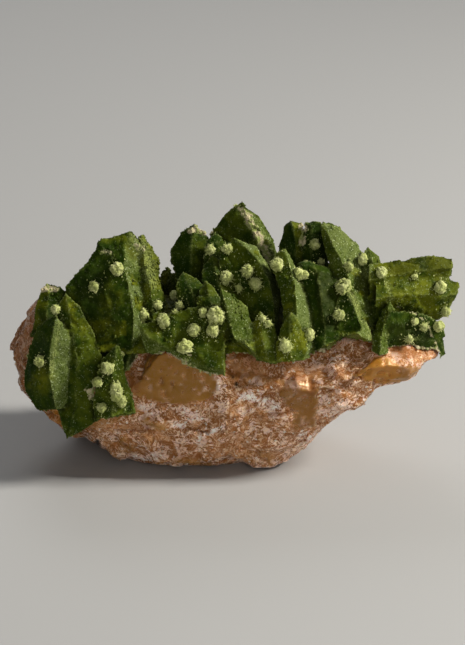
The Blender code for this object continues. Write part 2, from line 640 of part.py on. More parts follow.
def main():
    """Builds the calcite and the crystals on it."""
    for obj in list(bpy.data.objects):
        bpy.data.objects.remove(obj)
    parts = bpy.data.collections.new("duftite_with_calcite")
    cutters = bpy.data.collections.new("cutters")
    growth = bpy.data.collections.new("growth")
    for collection in (parts, cutters, growth):
        bpy.context.scene.collection.children.link(collection)
    calcite = new_object("calcite_matrix", matrix_mesh(), parts)
    clearance = new_object("calcite_clearance", matrix_mesh(GAP), cutters)
    blades = LEFT_BLADES + CENTRE_BLADES + RIGHT_BLADES + BACK_BLADES
    whole = bmesh.new()
    pieces = []
    for index, blade in enumerate(blades):
        piece = new_object(f"blade_{index}", blade_mesh(blade), growth)
        whole.from_mesh(piece.data)
        pieces.append(piece)
    tree = BVHTree.FromBMesh(whole)
    whole.free()
    for index, (centre, radius, stretch) in enumerate(ball_places(tree)):
        pieces.append(new_object(f"ball_{index}", ball_mesh(centre, radius, stretch), growth))
    crystals = new_object("bed", bed_mesh(), growth)
    growth.objects.unlink(crystals)
    parts.objects.link(crystals)
    crystals.name = "duftite_crystals"
    boolean(crystals, "UNION", collection=growth)
    boolean(crystals, "DIFFERENCE", other=clearance)
    for piece in pieces:
        bpy.data.objects.remove(piece)
    bpy.data.collections.remove(growth)
    for obj in (calcite, crystals):
        keep_largest(obj)
    clearance.data.transform(Matrix.Scale(MM, 4))
    clearance.hide_render = True
    clearance.display_type = "WIRE"
    finish(calcite, CALCITE_COLOUR, CALCITE_ROUGHNESS)
    finish(crystals, DUFTITE_COLOUR, DUFTITE_ROUGHNESS)


if __name__ == "__main__":
    main()
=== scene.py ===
"""Looks of a hand specimen: leaf-shaped crystals coated green with duftite, on broken honey calcite.

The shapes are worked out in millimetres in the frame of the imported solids, and each finished piece is
scaled to metres. A place on the front is given as it is seen: across and rise are measured on a picture
plane that passes through the front of the foot.
"""

import logging
import math
import random
from dataclasses import dataclass, field
from enum import Enum

import bmesh
import bpy
import numpy as np
from mathutils import Matrix, Vector, noise
from mathutils.bvhtree import BVHTree
from mathutils.kdtree import KDTree


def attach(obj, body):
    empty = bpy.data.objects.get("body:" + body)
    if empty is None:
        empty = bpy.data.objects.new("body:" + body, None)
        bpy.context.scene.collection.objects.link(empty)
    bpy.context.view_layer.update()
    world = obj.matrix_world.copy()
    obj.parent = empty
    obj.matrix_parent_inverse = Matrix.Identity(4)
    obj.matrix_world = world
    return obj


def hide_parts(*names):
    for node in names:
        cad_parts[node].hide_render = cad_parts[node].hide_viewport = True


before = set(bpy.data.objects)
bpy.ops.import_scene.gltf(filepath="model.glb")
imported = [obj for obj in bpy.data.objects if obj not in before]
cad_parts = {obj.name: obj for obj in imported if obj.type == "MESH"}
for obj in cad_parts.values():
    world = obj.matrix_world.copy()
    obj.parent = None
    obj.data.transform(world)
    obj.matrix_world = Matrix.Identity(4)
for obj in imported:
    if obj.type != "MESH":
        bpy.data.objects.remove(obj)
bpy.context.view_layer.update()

LOG = logging.getLogger("specimen")
MM = 0.001
PER_METRE = 1000.0
BODY = "root"
CRYSTALS = "duftite_crystals"
CALCITE = "calcite_matrix"
MERGE_DISTANCE = 0.001
MOST_TRIANGLES = 190000

Row = tuple[float, float, float, float, float, float]
Line = tuple[tuple[float, float], ...]


@dataclass(frozen=True)
class Eye:
    """The eye that sees the front of the specimen. The camera stands in its place.

    It looks down by its elevation at the rise on the picture plane, from the distance. The plane cuts the
    ground at foot_front, the Y of the foot's front edge.
    """

    elevation: float = math.radians(20.0)
    distance: float = 300.0
    rise: float = 19.2
    foot_front: float = -8.5

    @property
    def up(self) -> Vector:
        """The picture plane's upward direction."""
        return Vector((0.0, math.sin(self.elevation), math.cos(self.elevation)))

    @property
    def towards(self) -> Vector:
        """The direction from the specimen to the eye."""
        return Vector((0.0, -math.cos(self.elevation), math.sin(self.elevation)))

    @property
    def place(self) -> Vector:
        """Where the eye is, in millimetres."""
        return self.on_picture(0.0, self.rise) + self.towards * self.distance

    def on_picture(self, across: float, rise: float) -> Vector:
        """The point of the picture plane at (across, rise)."""
        return Vector((across, self.foot_front, 0.0)) + self.up * rise

    def seen(self, across: float, rise: float, depth: float) -> Vector:
        """Finds the point at a depth that the eye sees at a place of the picture.

        Args:
            across: Distance to the right on the picture plane.
            rise: Distance upwards on the picture plane.
            depth: The point's own Y.

        Returns:
            The point, in millimetres.
        """
        place = self.place
        ray = self.on_picture(across, rise) - place
        return place + ray * ((depth - place.y) / ray.y)

    def project(self, points: np.ndarray) -> np.ndarray:
        """Finds where points are seen on the picture plane.

        Args:
            points: The points, one row each.

        Returns:
            Across and rise, one row each.
        """
        place, origin = np.array(self.place), np.array(self.on_picture(0.0, 0.0))
        rays = points - place
        share = ((origin - place) @ np.array(self.towards)) / (rays @ np.array(self.towards))
        flat = place + rays * share[:, None] - origin
        return np.stack((flat[:, 0], flat @ np.array(self.up)), axis=1)

    def sees(self, tree: BVHTree, points: np.ndarray, slack: float = 0.35) -> np.ndarray:
        """Tells which points the eye sees.

        Args:
            tree: The surface that may hide them.
            points: The points, one row each.
            slack: How deep under the surface a point still counts as seen.

        Returns:
            1 for each point that is seen, and 0 for the others.
        """
        place = self.place
        found = np.zeros(len(points))
        for row, values in enumerate(points):
            ray = Vector(values) - place
            _, _, _, distance = tree.ray_cast(place, ray.normalized())
            found[row] = distance is None or distance > ray.length - slack
        return found

    def strike(self, tree: BVHTree, across: float, rise: float) -> tuple[Vector, Vector]:
        """Finds the first surface that the eye sees at a place of the picture.

        Args:
            tree: The surfaces.
            across: Distance to the right on the picture plane.
            rise: Distance upwards on the picture plane.

        Returns:
            The point and the surface's normal there.
        """
        place = self.place
        point, normal, _, _ = tree.ray_cast(place, (self.on_picture(across, rise) - place).normalized())
        return point, normal


EYE = Eye()


class Coat(Enum):
    """How a crystal's face is coated: its share of pale velvet, and its share of yellow olive. Faces turned
    to the light are given a larger pale share, partly as painted sheen, and faces turned from it a smaller
    one, partly as painted shade.
    """

    DARK = (0.04, 0.05)
    DEEP = (0.18, 0.25)
    LEAF = (0.38, 0.25)
    OLIVE = (0.30, 0.75)
    SILK = (0.62, 0.15)
    VELVET = (0.92, 0.05)


class Side(Enum):
    """The faces of a crystal: the two in front, beside its ridge, and its keel."""

    LEFT = 0
    RIGHT = 1
    KEEL = 2


@dataclass(frozen=True)
class Blade:
    """One crystal, drawn on the picture from its tip to its root.

    Each row is a section of it: across and rise of its left edge, of its ridge and of its right edge.
    """

    tip: tuple[float, float]
    tip_depth: float
    root_depth: float
    rows: tuple[Row, ...]
    left_back: float = 1.5
    right_back: float = 1.5
    keel: float = 2.6
    left: Coat = Coat.DARK
    right: Coat = Coat.LEAF
    behind: bool = False

    def place(self, across: float, rise: float, depth: float) -> Vector:
        """The point of the crystal at (across, rise, depth) on its own picture."""
        point = EYE.seen(across, rise, depth)
        if self.behind:
            point.rotate(Matrix.Rotation(math.pi, 3, "Z"))
        return point

    def section(self, index: int) -> list[Vector]:
        """Works out the corners of one section.

        Args:
            index: The row, counted from the tip.

        Returns:
            Left edge, ridge, right edge, and the two corners of the keel.
        """
        left_across, left_rise, ridge_across, ridge_rise, right_across, right_rise = self.rows[index]
        widest = max(math.hypot(row[4] - row[0], row[5] - row[1]) for row in self.rows)
        width = math.hypot(right_across - left_across, right_rise - left_rise) / widest
        depth = self.tip_depth + (self.root_depth - self.tip_depth) * (index + 1) / len(self.rows)
        left = self.place(left_across, left_rise, depth + self.left_back * width)
        ridge = self.place(ridge_across, ridge_rise, depth)
        right = self.place(right_across, right_rise, depth + self.right_back * width)
        away = -EYE.towards * (self.keel * max(width, 0.3))
        if self.behind:
            away.rotate(Matrix.Rotation(math.pi, 3, "Z"))
        return [left, ridge, right, right.lerp(left, 0.3) + away, left.lerp(right, 0.3) + away]

    def edges(self) -> list[list[Vector]]:
        """The lines of the left edge, the ridge and the right edge, from the tip to the root."""
        tip = self.place(*self.tip, self.tip_depth)
        sections = [self.section(index) for index in range(len(self.rows))]
        return [[tip] + [section[corner] for section in sections] for corner in range(3)]


LEFT_BLADES = (
    Blade((-22.0, 20.4), -8.4, -11.0, (
        (-24.5, 18.9, -22.45, 18.2, -20.6, 18.4),
        (-25.6, 16.0, -22.9, 15.6, -19.95, 16.0),
        (-26.2, 13.0, -22.95, 12.8, -19.9, 13.0),
        (-26.2, 10.6, -22.5, 10.0, -20.4, 10.2),
        (-24.6, 8.0, -22.0, 8.2, -20.8, 8.4),
    ), 3.0, 1.2, 3.0, Coat.DARK, Coat.VELVET),
    Blade((-20.9, 23.0), -6.4, -11.6, (
        (-22.2, 21.0, -20.6, 21.3, -18.9, 21.1),
        (-22.6, 18.0, -20.0, 18.0, -17.1, 17.7),
        (-22.8, 14.0, -19.4, 14.0, -16.2, 14.5),
        (-22.6, 10.0, -19.6, 10.0, -15.6, 10.6),
        (-21.6, 7.4, -20.0, 7.4, -15.8, 7.5),
        (-21.0, 4.6, -20.7, 4.5, -19.0, 5.2),
    ), 1.2, 0.9, 3.4, Coat.DEEP, Coat.DEEP),
    Blade((-12.4, 30.9), -1.0, -8.6, (
        (-16.4, 29.8, -13.4, 28.6, -11.6, 29.6),
        (-18.4, 26.8, -13.5, 26.2, -10.9, 25.8),
        (-21.0, 24.0, -12.9, 23.4, -10.5, 22.8),
        (-21.0, 20.0, -12.3, 20.4, -11.0, 19.8),
        (-18.6, 15.0, -12.4, 17.4, -11.4, 17.0),
        (-16.5, 11.0, -13.4, 13.0, -12.4, 13.0),
    ), 1.4, 2.0, 3.4, Coat.DARK, Coat.VELVET),
    Blade((-11.3, 30.3), -0.4, -5.4, (
        (-12.4, 29.4, -11.2, 28.9, -9.9, 28.8),
        (-12.2, 27.0, -11.0, 26.6, -9.1, 27.2),
        (-11.6, 24.6, -10.4, 24.4, -9.0, 24.8),
        (-11.4, 21.8, -10.0, 21.6, -8.4, 22.2),
        (-11.0, 18.6, -9.8, 18.4, -8.4, 18.6),
    ), 0.8, 2.0, 2.8, Coat.OLIVE, Coat.OLIVE),
    Blade((-14.2, 16.8), -9.6, -12.0, (
        (-16.4, 14.8, -14.8, 14.6, -13.6, 14.6),
        (-17.0, 12.4, -15.0, 12.0, -13.0, 12.4),
        (-17.6, 9.6, -15.0, 9.6, -12.2, 10.0),
        (-17.6, 6.9, -15.0, 7.3, -12.0, 7.9),
    ), 0.8, 1.0, 3.0, Coat.DEEP, Coat.LEAF),
    Blade((-23.2, 24.3), -2.2, -6.4, (
        (-24.1, 23.4, -23.0, 23.0, -21.4, 23.9),
        (-24.8, 21.0, -23.2, 20.6, -20.0, 22.0),
        (-25.4, 17.4, -23.0, 17.0, -19.6, 18.0),
    ), 1.2, 1.4, 3.0, Coat.OLIVE, Coat.DARK),
)

CENTRE_BLADES = (
    Blade((-12.0, 18.9), -9.4, -11.7, (
        (-10.9, 15.4, -10.3, 17.2, -9.4, 19.7),
        (-8.4, 14.6, -7.8, 15.8, -6.8, 20.9),
        (-6.0, 13.5, -5.6, 14.7, -4.2, 21.3),
        (-3.2, 12.6, -3.0, 13.5, -2.2, 21.0),
        (-0.9, 12.4, -0.9, 13.0, -0.9, 19.6),
    ), 0.9, 3.4, 3.6, Coat.SILK, Coat.DEEP),
    Blade((-8.4, 27.5), 2.4, -0.6, (
        (-9.3, 27.0, -8.5, 26.8, -7.6, 26.8),
        (-9.4, 25.0, -8.4, 25.0, -7.0, 25.2),
        (-9.2, 21.6, -8.0, 21.4, -6.4, 22.0),
    ), 0.8, 0.8, 2.4, Coat.OLIVE, Coat.OLIVE),
    Blade((-4.9, 31.6), 5.0, 1.6, (
        (-6.6, 30.5, -5.0, 30.2, -3.5, 30.9),
        (-7.9, 28.4, -5.2, 28.0, -2.5, 29.6),
        (-7.4, 25.8, -5.2, 25.4, -2.4, 26.4),
        (-6.8, 21.6, -5.0, 21.6, -2.6, 21.6),
    ), 1.4, 1.4, 3.0, Coat.DARK, Coat.DEEP),
    Blade((1.2, 34.4), 6.0, 2.6, (
        (-1.0, 32.9, 1.7, 32.6, 3.5, 32.6),
        (-2.6, 30.8, 2.8, 30.2, 4.9, 30.4),
        (-3.6, 28.4, 3.8, 28.2, 5.7, 28.2),
        (-3.6, 25.0, 4.6, 26.0, 6.4, 25.6),
        (-2.0, 20.0, 4.4, 22.0, 6.4, 21.0),
    ), 2.2, 1.8, 3.4, Coat.DEEP, Coat.SILK),
    Blade((0.2, 29.8), 0.4, -7.6, (
        (-1.4, 28.8, 1.6, 28.7, 2.9, 28.6),
        (-1.8, 26.8, 3.4, 26.8, 4.6, 26.4),
        (-0.8, 24.2, 4.7, 24.2, 5.7, 23.8),
        (1.0, 21.6, 5.3, 21.6, 6.2, 21.2),
        (2.6, 19.0, 5.4, 19.4, 6.0, 19.0),
        (3.0, 15.6, 4.6, 15.6, 5.6, 15.8),
    ), 1.6, 1.4, 3.0, Coat.DEEP, Coat.VELVET),
    Blade((-2.2, 30.6), 3.4, -1.4, (
        (-3.4, 29.4, -1.8, 29.0, -0.2, 29.5),
        (-3.8, 27.4, -1.6, 27.0, 0.4, 27.4),
        (-3.6, 23.6, -1.2, 23.6, 0.8, 24.2),
    ), 1.0, 1.0, 2.6, Coat.DARK, Coat.DEEP),
    Blade((-2.6, 27.7), 0.6, -5.6, (
        (-3.8, 26.4, -2.2, 26.2, -0.6, 26.6),
        (-4.0, 24.4, -1.8, 24.2, 0.8, 24.8),
        (-3.0, 22.4, -0.8, 22.2, 1.9, 22.6),
        (-1.8, 19.2, 0.4, 19.0, 2.8, 19.4),
    ), 1.0, 1.2, 2.8, Coat.DARK, Coat.DEEP),
    Blade((-6.2, 25.7), -1.0, -5.6, (
        (-7.0, 24.6, -5.8, 24.4, -4.4, 24.9),
        (-7.2, 22.8, -5.0, 22.8, -3.2, 23.4),
        (-6.6, 19.6, -4.0, 19.6, -1.6, 20.2),
    ), 1.0, 1.2, 2.6, Coat.DARK, Coat.DEEP),
    Blade((-3.4, 24.5), -3.6, -8.0, (
        (-4.4, 23.2, -3.2, 23.2, -2.2, 23.5),
        (-4.4, 21.4, -2.6, 21.4, -1.2, 22.0),
        (-4.0, 18.4, -2.0, 18.4, 0.2, 19.0),
    ), 0.9, 1.0, 2.6, Coat.DEEP, Coat.DEEP),
    Blade((-1.6, 23.8), -8.0, -11.2, (
        (-1.8, 22.6, -1.2, 22.4, 0.2, 22.8),
        (-1.4, 20.6, -0.7, 20.6, 1.8, 21.0),
        (-1.0, 18.4, -0.2, 18.4, 2.8, 18.6),
        (-0.6, 17.0, 0.2, 17.1, 3.1, 16.8),
        (0.3, 16.4, 1.5, 16.7, 3.6, 14.5),
    ), 1.6, 1.6, 2.6, Coat.LEAF, Coat.SILK),
    Blade((3.4, 21.0), -7.4, -11.2, (
        (2.4, 19.0, 3.6, 18.8, 5.2, 18.8),
        (2.2, 16.8, 3.9, 16.6, 6.0, 16.6),
        (2.8, 14.3, 4.6, 14.1, 6.6, 14.3),
    ), 0.8, 0.8, 2.4, Coat.OLIVE, Coat.LEAF),
    Blade((6.4, 28.7), -2.8, -11.2, (
        (5.2, 27.8, 7.0, 27.0, 7.5, 27.0),
        (4.8, 26.0, 7.8, 24.6, 8.6, 24.6),
        (5.6, 23.6, 8.0, 22.2, 9.6, 22.2),
        (6.2, 20.6, 8.1, 19.8, 10.3, 19.8),
        (6.4, 17.6, 8.2, 17.2, 10.3, 17.4),
        (7.2, 14.4, 8.4, 14.2, 9.8, 14.6),
    ), 1.8, 1.8, 3.0, Coat.LEAF, Coat.VELVET),
    Blade((7.2, 20.6), -8.6, -11.6, (
        (6.0, 18.8, 7.2, 18.6, 8.8, 18.6),
        (5.4, 16.6, 7.2, 16.4, 9.6, 16.8),
        (5.6, 14.3, 7.4, 14.1, 9.2, 14.4),
    ), 0.8, 0.8, 2.4, Coat.OLIVE, Coat.OLIVE),
)

RIGHT_BLADES = (
    Blade((7.2, 32.0), 3.0, -0.4, (
        (6.3, 31.2, 7.5, 31.4, 8.8, 31.7),
        (5.6, 29.2, 7.9, 28.6, 9.3, 28.8),
        (5.8, 26.4, 8.0, 26.0, 9.4, 26.0),
        (6.2, 22.0, 8.0, 22.0, 9.4, 22.0),
    ), 1.6, 0.8, 2.8, Coat.DARK, Coat.OLIVE),
    Blade((10.0, 32.0), 2.2, -0.8, (
        (9.0, 31.7, 9.8, 31.3, 11.2, 31.8),
        (8.7, 29.0, 9.8, 28.6, 12.0, 29.0),
        (8.6, 24.0, 9.8, 24.0, 12.4, 24.0),
        (8.6, 18.6, 9.8, 18.4, 11.6, 18.6),
    ), 0.9, 0.9, 2.4, Coat.DARK, Coat.DARK),
    Blade((11.4, 32.1), 1.0, -7.8, (
        (10.8, 31.4, 11.6, 30.8, 13.2, 31.3),
        (11.0, 29.2, 12.6, 29.0, 15.6, 29.5),
        (11.6, 27.2, 13.6, 27.0, 16.8, 27.4),
        (12.6, 25.0, 14.6, 24.6, 17.1, 24.2),
        (14.0, 22.6, 15.6, 21.8, 17.4, 21.0),
        (15.4, 18.6, 16.6, 18.0, 17.8, 18.2),
    ), 1.4, 2.2, 3.0, Coat.LEAF, Coat.SILK),
    Blade((16.9, 28.8), -1.2, -8.0, (
        (16.2, 27.8, 17.4, 27.4, 18.4, 27.5),
        (16.6, 25.0, 17.9, 25.0, 19.2, 25.0),
        (17.0, 22.0, 18.6, 22.0, 20.1, 22.0),
        (17.2, 19.4, 18.8, 19.0, 20.3, 19.4),
        (17.2, 15.8, 18.6, 15.6, 19.6, 16.0),
    ), 1.0, 1.4, 3.0, Coat.DEEP, Coat.LEAF),
    Blade((9.8, 27.1), -2.4, -10.2, (
        (8.0, 26.6, 10.4, 26.0, 12.4, 26.0),
        (8.4, 24.0, 10.9, 23.8, 13.3, 24.4),
        (9.2, 21.0, 11.2, 21.0, 13.8, 21.4),
        (9.6, 18.0, 11.6, 18.0, 14.0, 18.4),
        (9.8, 15.0, 11.4, 16.2, 14.0, 17.3),
    ), 1.2, 1.2, 3.0, Coat.DARK, Coat.DARK),
    Blade((14.2, 23.8), -5.2, -10.4, (
        (13.2, 22.4, 14.8, 22.2, 15.4, 22.0),
        (12.8, 20.4, 15.6, 20.4, 16.5, 20.0),
        (12.6, 18.4, 16.2, 18.4, 17.2, 18.4),
        (12.8, 17.3, 15.4, 17.9, 17.2, 16.7),
    ), 1.2, 1.0, 2.6, Coat.DARK, Coat.SILK),
    Blade((19.6, 22.2), -6.6, -10.0, (
        (18.6, 20.8, 19.4, 20.6, 20.4, 20.8),
        (17.7, 19.0, 18.9, 18.8, 20.2, 19.0),
        (17.3, 17.4, 18.5, 17.0, 19.6, 17.4),
        (17.4, 15.6, 18.4, 14.9, 19.4, 15.0),
    ), 1.2, 1.0, 2.6, Coat.LEAF, Coat.SILK),
    Blade((28.0, 26.0), -1.6, -5.4, (
        (27.6, 27.4, 27.5, 26.0, 27.0, 24.4),
        (25.0, 27.6, 25.0, 25.8, 25.0, 23.6),
        (22.0, 27.4, 22.0, 25.4, 22.0, 23.0),
        (19.4, 26.9, 19.6, 25.0, 19.6, 22.4),
        (17.0, 26.6, 17.0, 24.4, 17.0, 21.6),
    ), 1.6, 0.8, 2.6, Coat.OLIVE, Coat.OLIVE),
    Blade((28.5, 23.6), -2.2, -6.2, (
        (28.3, 24.5, 28.0, 22.8, 26.9, 20.0),
        (26.4, 24.9, 26.0, 22.4, 25.6, 19.3),
        (23.0, 25.6, 23.0, 22.8, 23.0, 19.6),
        (20.4, 25.2, 20.4, 22.6, 20.4, 20.2),
        (17.8, 24.6, 17.8, 22.0, 17.8, 19.4),
    ), 1.5, 0.7, 2.6, Coat.OLIVE, Coat.OLIVE),
    Blade((26.8, 15.2), -4.6, -8.4, (
        (26.4, 19.0, 26.1, 16.8, 25.8, 14.5),
        (24.4, 20.2, 24.0, 17.0, 23.6, 14.4),
        (22.0, 20.8, 21.4, 17.2, 21.2, 13.9),
        (19.4, 20.8, 19.0, 17.2, 19.0, 14.8),
    ), 0.6, 0.6, 2.8, Coat.DARK, Coat.DARK),
)

BACK_BLADES = (
    Blade((-18.6, 22.6), -5.0, -8.6, (
        (-20.4, 20.4, -18.4, 20.2, -16.4, 20.8),
        (-21.8, 17.4, -18.6, 17.0, -15.0, 17.8),
        (-21.4, 13.0, -18.6, 12.6, -15.2, 13.4),
    ), 1.6, 1.6, 4.6, Coat.DEEP, Coat.LEAF, behind=True),
    Blade((-10.8, 25.4), -5.0, -10.0, (
        (-13.2, 22.6, -10.6, 22.4, -8.2, 23.0),
        (-15.4, 18.8, -10.8, 18.2, -6.4, 19.0),
        (-15.0, 13.4, -10.6, 12.8, -6.8, 13.8),
    ), 1.8, 1.8, 5.2, Coat.DEEP, Coat.SILK, behind=True),
    Blade((-3.0, 24.8), -6.0, -11.0, (
        (-5.6, 22.2, -3.0, 21.8, -0.8, 22.6),
        (-7.6, 18.2, -3.2, 17.6, 1.2, 18.6),
        (-7.2, 13.2, -3.0, 12.4, 1.2, 13.6),
    ), 1.8, 1.8, 5.4, Coat.LEAF, Coat.DEEP, behind=True),
    Blade((4.2, 25.2), -5.4, -10.8, (
        (1.8, 22.6, 4.6, 22.2, 6.8, 22.8),
        (0.4, 18.6, 4.6, 18.0, 9.0, 18.8),
        (0.8, 12.8, 4.4, 12.0, 8.6, 13.0),
    ), 1.8, 1.8, 5.4, Coat.DEEP, Coat.VELVET, behind=True),
    Blade((12.2, 24.4), -4.6, -10.0, (
        (9.8, 22.0, 12.4, 21.6, 15.0, 22.0),
        (8.0, 18.2, 12.6, 17.6, 17.0, 18.0),
        (8.6, 12.6, 12.6, 12.0, 16.6, 12.8),
    ), 1.8, 1.8, 5.2, Coat.LEAF, Coat.SILK, behind=True),
    Blade((18.6, 20.6), -4.2, -8.8, (
        (16.6, 18.8, 19.0, 18.4, 21.4, 18.6),
        (15.4, 15.4, 19.2, 14.8, 22.8, 15.2),
        (16.0, 10.8, 19.2, 10.6, 22.2, 11.0),
    ), 1.4, 1.4, 4.8, Coat.DEEP, Coat.LEAF, behind=True),
    Blade((-14.6, 21.0), -7.6, -10.6, (
        (-16.2, 19.0, -14.6, 18.6, -13.0, 19.2),
        (-17.0, 15.6, -14.8, 15.0, -12.4, 15.8),
        (-16.6, 12.0, -14.6, 11.6, -12.6, 12.2),
    ), 1.2, 1.2, 3.4, Coat.LEAF, Coat.SILK, behind=True),
    Blade((0.8, 20.8), -9.4, -12.0, (
        (-1.0, 18.6, 0.8, 18.2, 2.8, 18.8),
        (-1.8, 14.8, 0.8, 14.2, 3.2, 15.0),
        (-1.4, 11.0, 0.8, 10.6, 2.8, 11.2),
    ), 1.2, 1.2, 3.4, Coat.DEEP, Coat.LEAF, behind=True),
    Blade((8.6, 20.6), -8.6, -11.4, (
        (6.8, 18.4, 8.6, 18.0, 10.6, 18.4),
        (6.0, 14.6, 8.6, 14.0, 11.2, 14.8),
        (6.4, 10.6, 8.6, 10.2, 10.8, 10.8),
    ), 1.2, 1.2, 3.4, Coat.LEAF, Coat.SILK, behind=True),
)


@dataclass(frozen=True)
class Ball:
    """A duftite ball: where it is seen, its radius, and its height over its width."""

    across: float
    rise: float
    radius: float
    stretch: float


BALLS = tuple(Ball(*values) for values in (
    (-14.4, 25.9, 0.85, 1.0), (-17.3, 23.7, 0.65, 1.2), (-22.0, 20.9, 0.6, 1.0), (-23.9, 14.4, 0.75, 1.0),
    (-15.6, 13.5, 0.8, 1.0), (-16.8, 11.8, 0.65, 1.0), (-14.6, 10.6, 0.85, 1.6), (-16.3, 8.6, 0.6, 1.0),
    (-13.9, 9.4, 0.65, 1.2), (-11.1, 20.1, 0.75, 1.3), (-9.5, 21.4, 0.6, 1.0), (-8.6, 19.3, 0.8, 1.2),
    (-7.3, 22.6, 0.6, 1.0), (-6.5, 21.3, 0.55, 1.1), (-6.0, 16.1, 1.0, 0.8), (-4.8, 18.2, 0.8, 1.0),
    (-2.4, 18.2, 0.75, 1.2), (-3.7, 20.4, 0.6, 1.0), (-1.9, 20.0, 1.15, 1.0), (-2.7, 28.2, 0.6, 1.2),
    (-0.6, 28.4, 0.7, 1.0), (-0.75, 24.7, 0.8, 1.1), (0.8, 23.4, 0.5, 1.0), (1.9, 25.6, 0.75, 1.1),
    (2.9, 24.0, 0.75, 1.1), (3.7, 19.7, 0.45, 1.0), (4.4, 19.0, 0.5, 1.0), (5.6, 26.4, 0.85, 1.0),
    (8.1, 25.2, 0.65, 1.3), (9.1, 25.1, 0.5, 1.0), (6.7, 16.3, 0.8, 1.1), (9.4, 17.7, 0.75, 1.1),
    (10.2, 29.0, 0.7, 1.0), (11.0, 26.8, 0.5, 1.0), (14.4, 26.1, 0.6, 1.1), (16.4, 27.1, 0.6, 1.4),
    (14.0, 23.6, 1.0, 1.1), (13.4, 20.1, 0.7, 1.0), (18.6, 25.4, 0.7, 1.0), (22.7, 24.9, 0.45, 0.8),
    (25.9, 23.6, 0.75, 1.1), (26.6, 20.7, 0.6, 1.1), (25.7, 18.8, 0.7, 1.0), (22.7, 19.4, 0.5, 1.0),
    (23.8, 18.7, 0.55, 1.0), (22.0, 17.2, 0.55, 1.0),
))


@dataclass(frozen=True)
class Mark:
    """A patch or band of another coat, drawn on the picture: a line of some width, or a filled outline."""

    layer: str
    line: Line
    width: float
    strength: float = 1.0
    filled: bool = False


TOP_BAND = ((1.2, 33.4), (2.4, 31.4), (3.4, 29.6), (4.5, 27.2))
CENTRE_BAND = ((5.9, 24.0), (6.8, 20.6))

